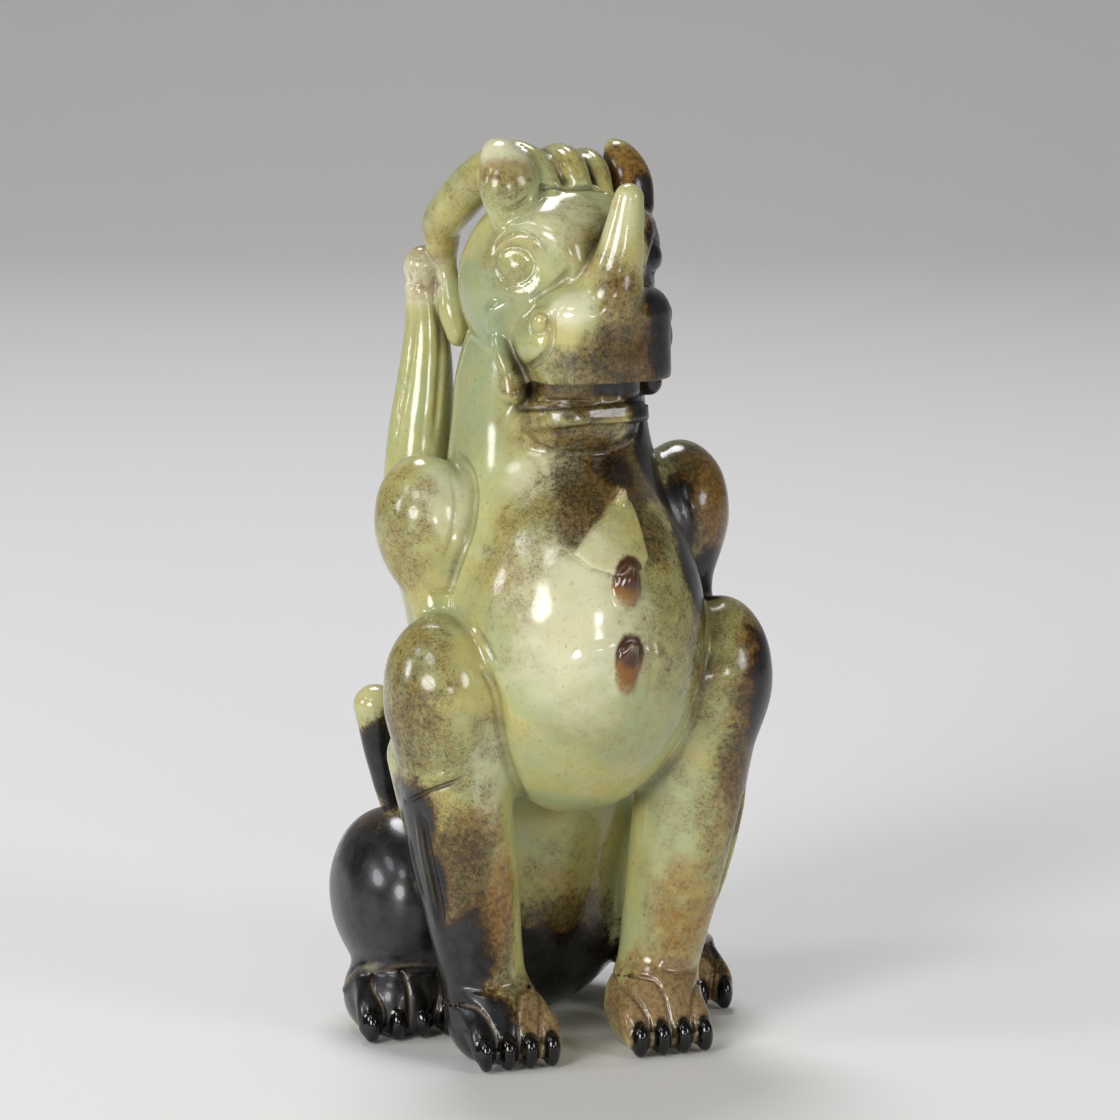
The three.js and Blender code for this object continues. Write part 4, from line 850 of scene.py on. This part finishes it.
def nephrite():
    k = Nodes("nephrite")
    co = k.new("TexCoord").outputs["Object"]
    mm = k.new("Mapping", Vector=co, Scale=(1000.0, 1000.0, 1000.0)).outputs["Vector"]     # millimetres
    M = {n: k.mark(n) for n in marks}

    cloud = k.noise(mm, 0.11, 3.0, 0.5, 0.6)
    mottle = k.noise(mm, 0.42, 4.0, 0.6, 0.4)
    grain = k.noise(mm, 1.5, 5.0, 0.65, 0.3)
    clump = k.ramp(k.noise(mm, 0.75, 4.0, 0.65, 1.2), 0.44, 0.60, 0.12, 1.0)
    fine = k.noise(mm, 3.3, 4.0, 0.7, 0.5)
    fleck = k.noise(mm, 2.6, 3.0, 0.6, 1.4)

    # ground of the stone: celadon, cloudier and yellower in places
    c = k.mix(k.ramp(cloud, 0.35, 0.65), linear(*CELADON), linear(*STRAW))
    c = k.mix(k.math("MULTIPLY", k.ramp(mottle, 0.45, 0.75), 0.35), c, linear(*CLOUDY))
    c = k.mix(k.math("MULTIPLY", M["green"], k.ramp(cloud, 0.2, 0.7, 0.95, 0.65)), c, linear(*SEA))
    c = k.mix(k.math("MULTIPLY", M["pale"], 0.75), c, linear(*MILK))

    # olive skin: soaked tone, then grain and branching dark threads
    soak = k.math("MULTIPLY", M["olive"], k.ramp(mottle, 0.35, 0.65, 0.35, 1.0))
    c = k.mix(k.math("MULTIPLY", soak, 0.74), c, linear(*OLIVE_TONE))
    threads = []
    for size, twist, thin in ((0.55, 1.6, 0.02), (1.4, 1.2, 0.045)):
        t = k.math("ABSOLUTE", k.math("SUBTRACT", k.noise(mm, size, 5.0, 0.72, twist), 0.5))
        threads.append(k.ramp(t, 0.0, thin, 1.0, 0.0))
    thread = k.math("MULTIPLY", k.math("MAXIMUM", threads[0], threads[1]), k.ramp(fleck, 0.44, 0.56))
    dots = k.math("MULTIPLY", k.ramp(grain, 0.52, 0.66), k.math("MULTIPLY", clump, 0.85))
    dust = k.math("MULTIPLY", k.ramp(fine, 0.52, 0.66), k.math("MULTIPLY", clump, 0.5))
    speck = k.math("MAXIMUM", k.math("MAXIMUM", thread, dots), dust)
    inside = k.ramp(k.math("ADD", M["olive"], k.math("MULTIPLY", k.math("SUBTRACT", mottle, 0.5), 1.3)), 0.2, 0.95)
    c = k.mix(k.math("MULTIPLY", k.math("MULTIPLY", speck, inside), 0.88), c, linear(*OLIVE_DARK))
    # a few lone specks everywhere
    lone = k.math("MULTIPLY", k.ramp(k.noise(mm, 1.25, 3.0, 0.6, 2.0), 0.665, 0.70), k.ramp(cloud, 0.4, 0.6))
    c = k.mix(k.math("MULTIPLY", lone, 0.7), c, linear(*OLIVE_DARK))

    # warm brown stain, russet skin, black skin: each edge broken by noise of its own
    def skinned(c, mask, tone, soft, amount, n, shift=0.0):
        e = k.math("ADD", mask, k.math("MULTIPLY", k.math("SUBTRACT", n, 0.5), 0.9))
        e = k.ramp(e, 0.5 - soft + shift, 0.5 + soft + shift)
        return k.mix(k.math("MULTIPLY", e, amount), c, tone)

    blend = k.math("ADD", k.math("MULTIPLY", mottle, 0.45), k.math("MULTIPLY", grain, 0.55))
    tone = k.mix(k.ramp(blend, 0.43, 0.57), linear(*BROWN_TONE), linear(*BROWN_DEEP))
    c = skinned(c, M["brown"], tone, 0.42, k.ramp(fine, 0.40, 0.60, 0.95, 0.72), grain)
    tone = k.mix(k.ramp(grain, 0.35, 0.7), linear(*RUSSET_TONE), linear(*RUSSET_DEEP))
    c = skinned(c, M["russet"], tone, 0.48, 0.8, mottle)
    tone = k.mix(k.ramp(k.math("ADD", grain, k.math("MULTIPLY", fine, 0.5)), 0.6, 0.95), linear(*SAND_TONE), linear(*SAND_DEEP))
    c = skinned(c, M["sandy"], tone, 0.40, 0.93, grain)
    tone = k.mix(k.ramp(k.math("ADD", M["nubtip"], k.math("MULTIPLY", grain, 0.5)), 0.3, 1.2), linear(*NUB_TONE), linear(*NUB_DEEP))
    c = k.mix(k.math("MULTIPLY", k.ramp(k.math("ADD", M["nub"], k.math("MULTIPLY", grain, 0.4)), 0.45, 1.0), 0.97), c, tone)
    # black skin inside a halo of brown; low between the legs under the belly it is partly painted shadow
    c = skinned(c, M["dark"], linear(*BROWN_TONE), 0.22, 0.85, grain, -0.26)
    c = skinned(c, M["dark"], linear(*BROWN_DEEP), 0.18, 0.85, grain, -0.10)
    tone = k.mix(k.ramp(mottle, 0.35, 0.7), linear(*BLACK), linear(*SLATE))
    c = skinned(c, M["dark"], tone, 0.22, 0.97, grain, 0.08)
    # tiny pale scuffs and grains on the black skin
    scuff = k.math("MULTIPLY", k.ramp(k.noise(mm, 2.4, 3.0, 0.75, 0.6), 0.64, 0.72), k.ramp(M["dark"], 0.5, 0.9))
    c = k.mix(k.math("MULTIPLY", scuff, 0.4), c, linear(*TAN))

    # claws polished black; the creases between the toes show the paler stone under the skin
    pale = k.math("MULTIPLY", k.math("MULTIPLY", M["crease"], k.ramp(M["dark"], 0.3, 0.7)), k.ramp(fine, 0.3, 0.6, 0.4, 0.8))
    c = k.mix(k.math("MULTIPLY", pale, k.ramp(M["claw"], 0.0, 0.6, 0.8, 0.0)), c, linear(*TAN))
    c = k.mix(M["claw"], c, linear(*BLACK))

    # old grime and lacquer in the cut lines, plus painted shade in hollows and deeper recesses; paler rubbed edges
    dirt_and_shade = k.math("MULTIPLY", k.ramp(M["hollow_dirt_and_shade"], 0.22, 0.75), k.ramp(fine, 0.25, 0.6, 0.55, 1.0))
    dirt_and_shade = k.math("MULTIPLY", dirt_and_shade, k.ramp(M["olive"], 0.0, 0.6, 0.45, 1.0))
    c = k.mix(k.math("MULTIPLY", dirt_and_shade, 0.75), c, linear(*DIRT_AND_SHADE))
    # painted shade: deeper recesses darkened by multiplying in the grime colour
    c = k.mix(k.math("MULTIPLY", k.ramp(M["painted_recess_shade"], 0.35, 0.95), 0.35), c, linear(*DIRT_AND_SHADE), "MULTIPLY")
    rub = k.math("MULTIPLY", k.ramp(M["edge"], 0.35, 0.9), 0.22)
    c = k.mix(rub, c, k.mix(0.5, c, linear(*MILK)))

    rough = k.math("ADD", k.ramp(fine, 0.3, 0.7, 0.13, 0.18), k.math("MULTIPLY", dirt_and_shade, 0.30))
    rough = k.math("ADD", rough, k.math("MULTIPLY", k.math("MULTIPLY", speck, inside), 0.02))
    rough = k.math("ADD", rough, k.math("MULTIPLY", k.ramp(M["dark"], 0.3, 0.8), k.ramp(M["claw"], 0.2, 0.8, 0.14, -0.05)))
    pits = k.math("MULTIPLY", k.math("MULTIPLY", speck, inside), -0.15)
    wave = k.noise(mm, 0.35, 2.0, 0.5, 0.3)
    height = k.math("ADD", k.math("MULTIPLY", wave, 0.9), k.math("ADD", pits, k.math("MULTIPLY", fine, 0.12)))
    bump = k.new("Bump", Strength=0.35, Distance=0.00006, Height=height)
    b = k.new("BsdfPrincipled")
    k.put(b, "Base Color", c)
    k.put(b, "Roughness", rough)
    k.put(b, "Normal", bump.outputs["Normal"])
    b.inputs["IOR"].default_value = 1.52
    b.inputs["Specular IOR Level"].default_value = 0.42
    b.inputs["Subsurface Weight"].default_value = 0.20
    b.inputs["Subsurface Radius"].default_value = (1.0, 1.05, 0.62)
    b.inputs["Subsurface Scale"].default_value = 0.0024
    b.inputs["Coat Weight"].default_value = 0.22
    b.inputs["Coat Roughness"].default_value = 0.06
    b.inputs["Coat IOR"].default_value = 1.5
    k.t.links.new(b.outputs[0], k.out.inputs["Surface"])
    return k.m


done.materials.append(nephrite())
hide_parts(NODE)
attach(carving, "root")

# ------------------------------------------------------------------ floor, light, camera
scene = bpy.context.scene


def plain(name, colour, roughness):
    k = Nodes(name)
    b = k.new("BsdfPrincipled")
    b.inputs["Base Color"].default_value = linear(*colour)
    b.inputs["Roughness"].default_value = roughness
    k.t.links.new(b.outputs[0], k.out.inputs["Surface"])
    return k.m


def sweep():
    """Pale floor that turns up into a backdrop well behind the carving."""
    half, back, rise, r = 2.2, 1.6, 2.4, 0.7
    prof = [(-2.6, 0.0), (back - r, 0.0)]
    prof += [(back - r + r * math.sin(t), r - r * math.cos(t)) for t in np.linspace(0.08, math.pi / 2, 14)]
    prof += [(back, rise)]
    v = [(x, y, z) for x in (-half, half) for y, z in prof]
    n = len(prof)
    f = [(i, n + i, n + i + 1, i + 1) for i in range(n - 1)]
    me = bpy.data.meshes.new("floor")
    me.from_pydata(v, [], f)
    for p in me.polygons:
        p.use_smooth = True
    me.materials.append(plain("floor_paper", FLOOR, 0.75))
    ob = bpy.data.objects.new("floor", me)
    ob.rotation_euler = (0, 0, math.radians(-CAM_AZ))
    scene.collection.objects.link(ob)


sweep()


def aim(ob, at):
    ob.rotation_euler = (Vector(at) - ob.location).to_track_quat("-Z", "Y").to_euler()


az, el = math.radians(CAM_AZ), math.radians(CAM_EL)
look = Vector((math.sin(az) * math.cos(el), math.cos(az) * math.cos(el), -math.sin(el)))
right = Vector((math.cos(az), -math.sin(az), 0))
upward = right.cross(look)
target = Vector([(a + b) * 0.001 for a, b in zip(CAM_AT, SHIFT)])

cam = bpy.data.objects.new("camera", bpy.data.cameras.new("camera"))
cam.data.sensor_width = 36
cam.data.lens = CAM_LENS
cam.location = target - look * CAM_FAR
cam.matrix_world = Matrix.Translation(cam.location) @ Matrix((right, upward, -look)).transposed().to_4x4()
cam.data.clip_start = 0.01
scene.collection.objects.link(cam)
scene.camera = cam


def softbox(name, turn_right, lift, far, w, h, watts, tint=(1, 1, 1)):
    """Rounded light seen from the carving at turn_right, lift degrees off the camera's direction."""
    d = bpy.data.lights.new(name, "AREA")
    d.shape, d.size, d.size_y, d.energy, d.color = "ELLIPSE", w, h, watts, tint
    ob = bpy.data.objects.new(name, d)
    a, e = math.radians(turn_right), math.radians(lift)
    way = (-look * math.cos(a) + right * math.sin(a)) * math.cos(e) + upward * math.sin(e)
    ob.location = target + way * far
    scene.collection.objects.link(ob)
    aim(ob, target)


for box in LIGHTS:
    softbox(*box)

world = bpy.data.worlds.new("studio")
world.use_nodes = True
world.node_tree.nodes["Background"].inputs[0].default_value = (1, 1, 1, 1)
world.node_tree.nodes["Background"].inputs[1].default_value = AIR
scene.world = world
scene.view_settings.view_transform = VIEW
scene.view_settings.look = "None"
scene.view_settings.exposure = 0.0
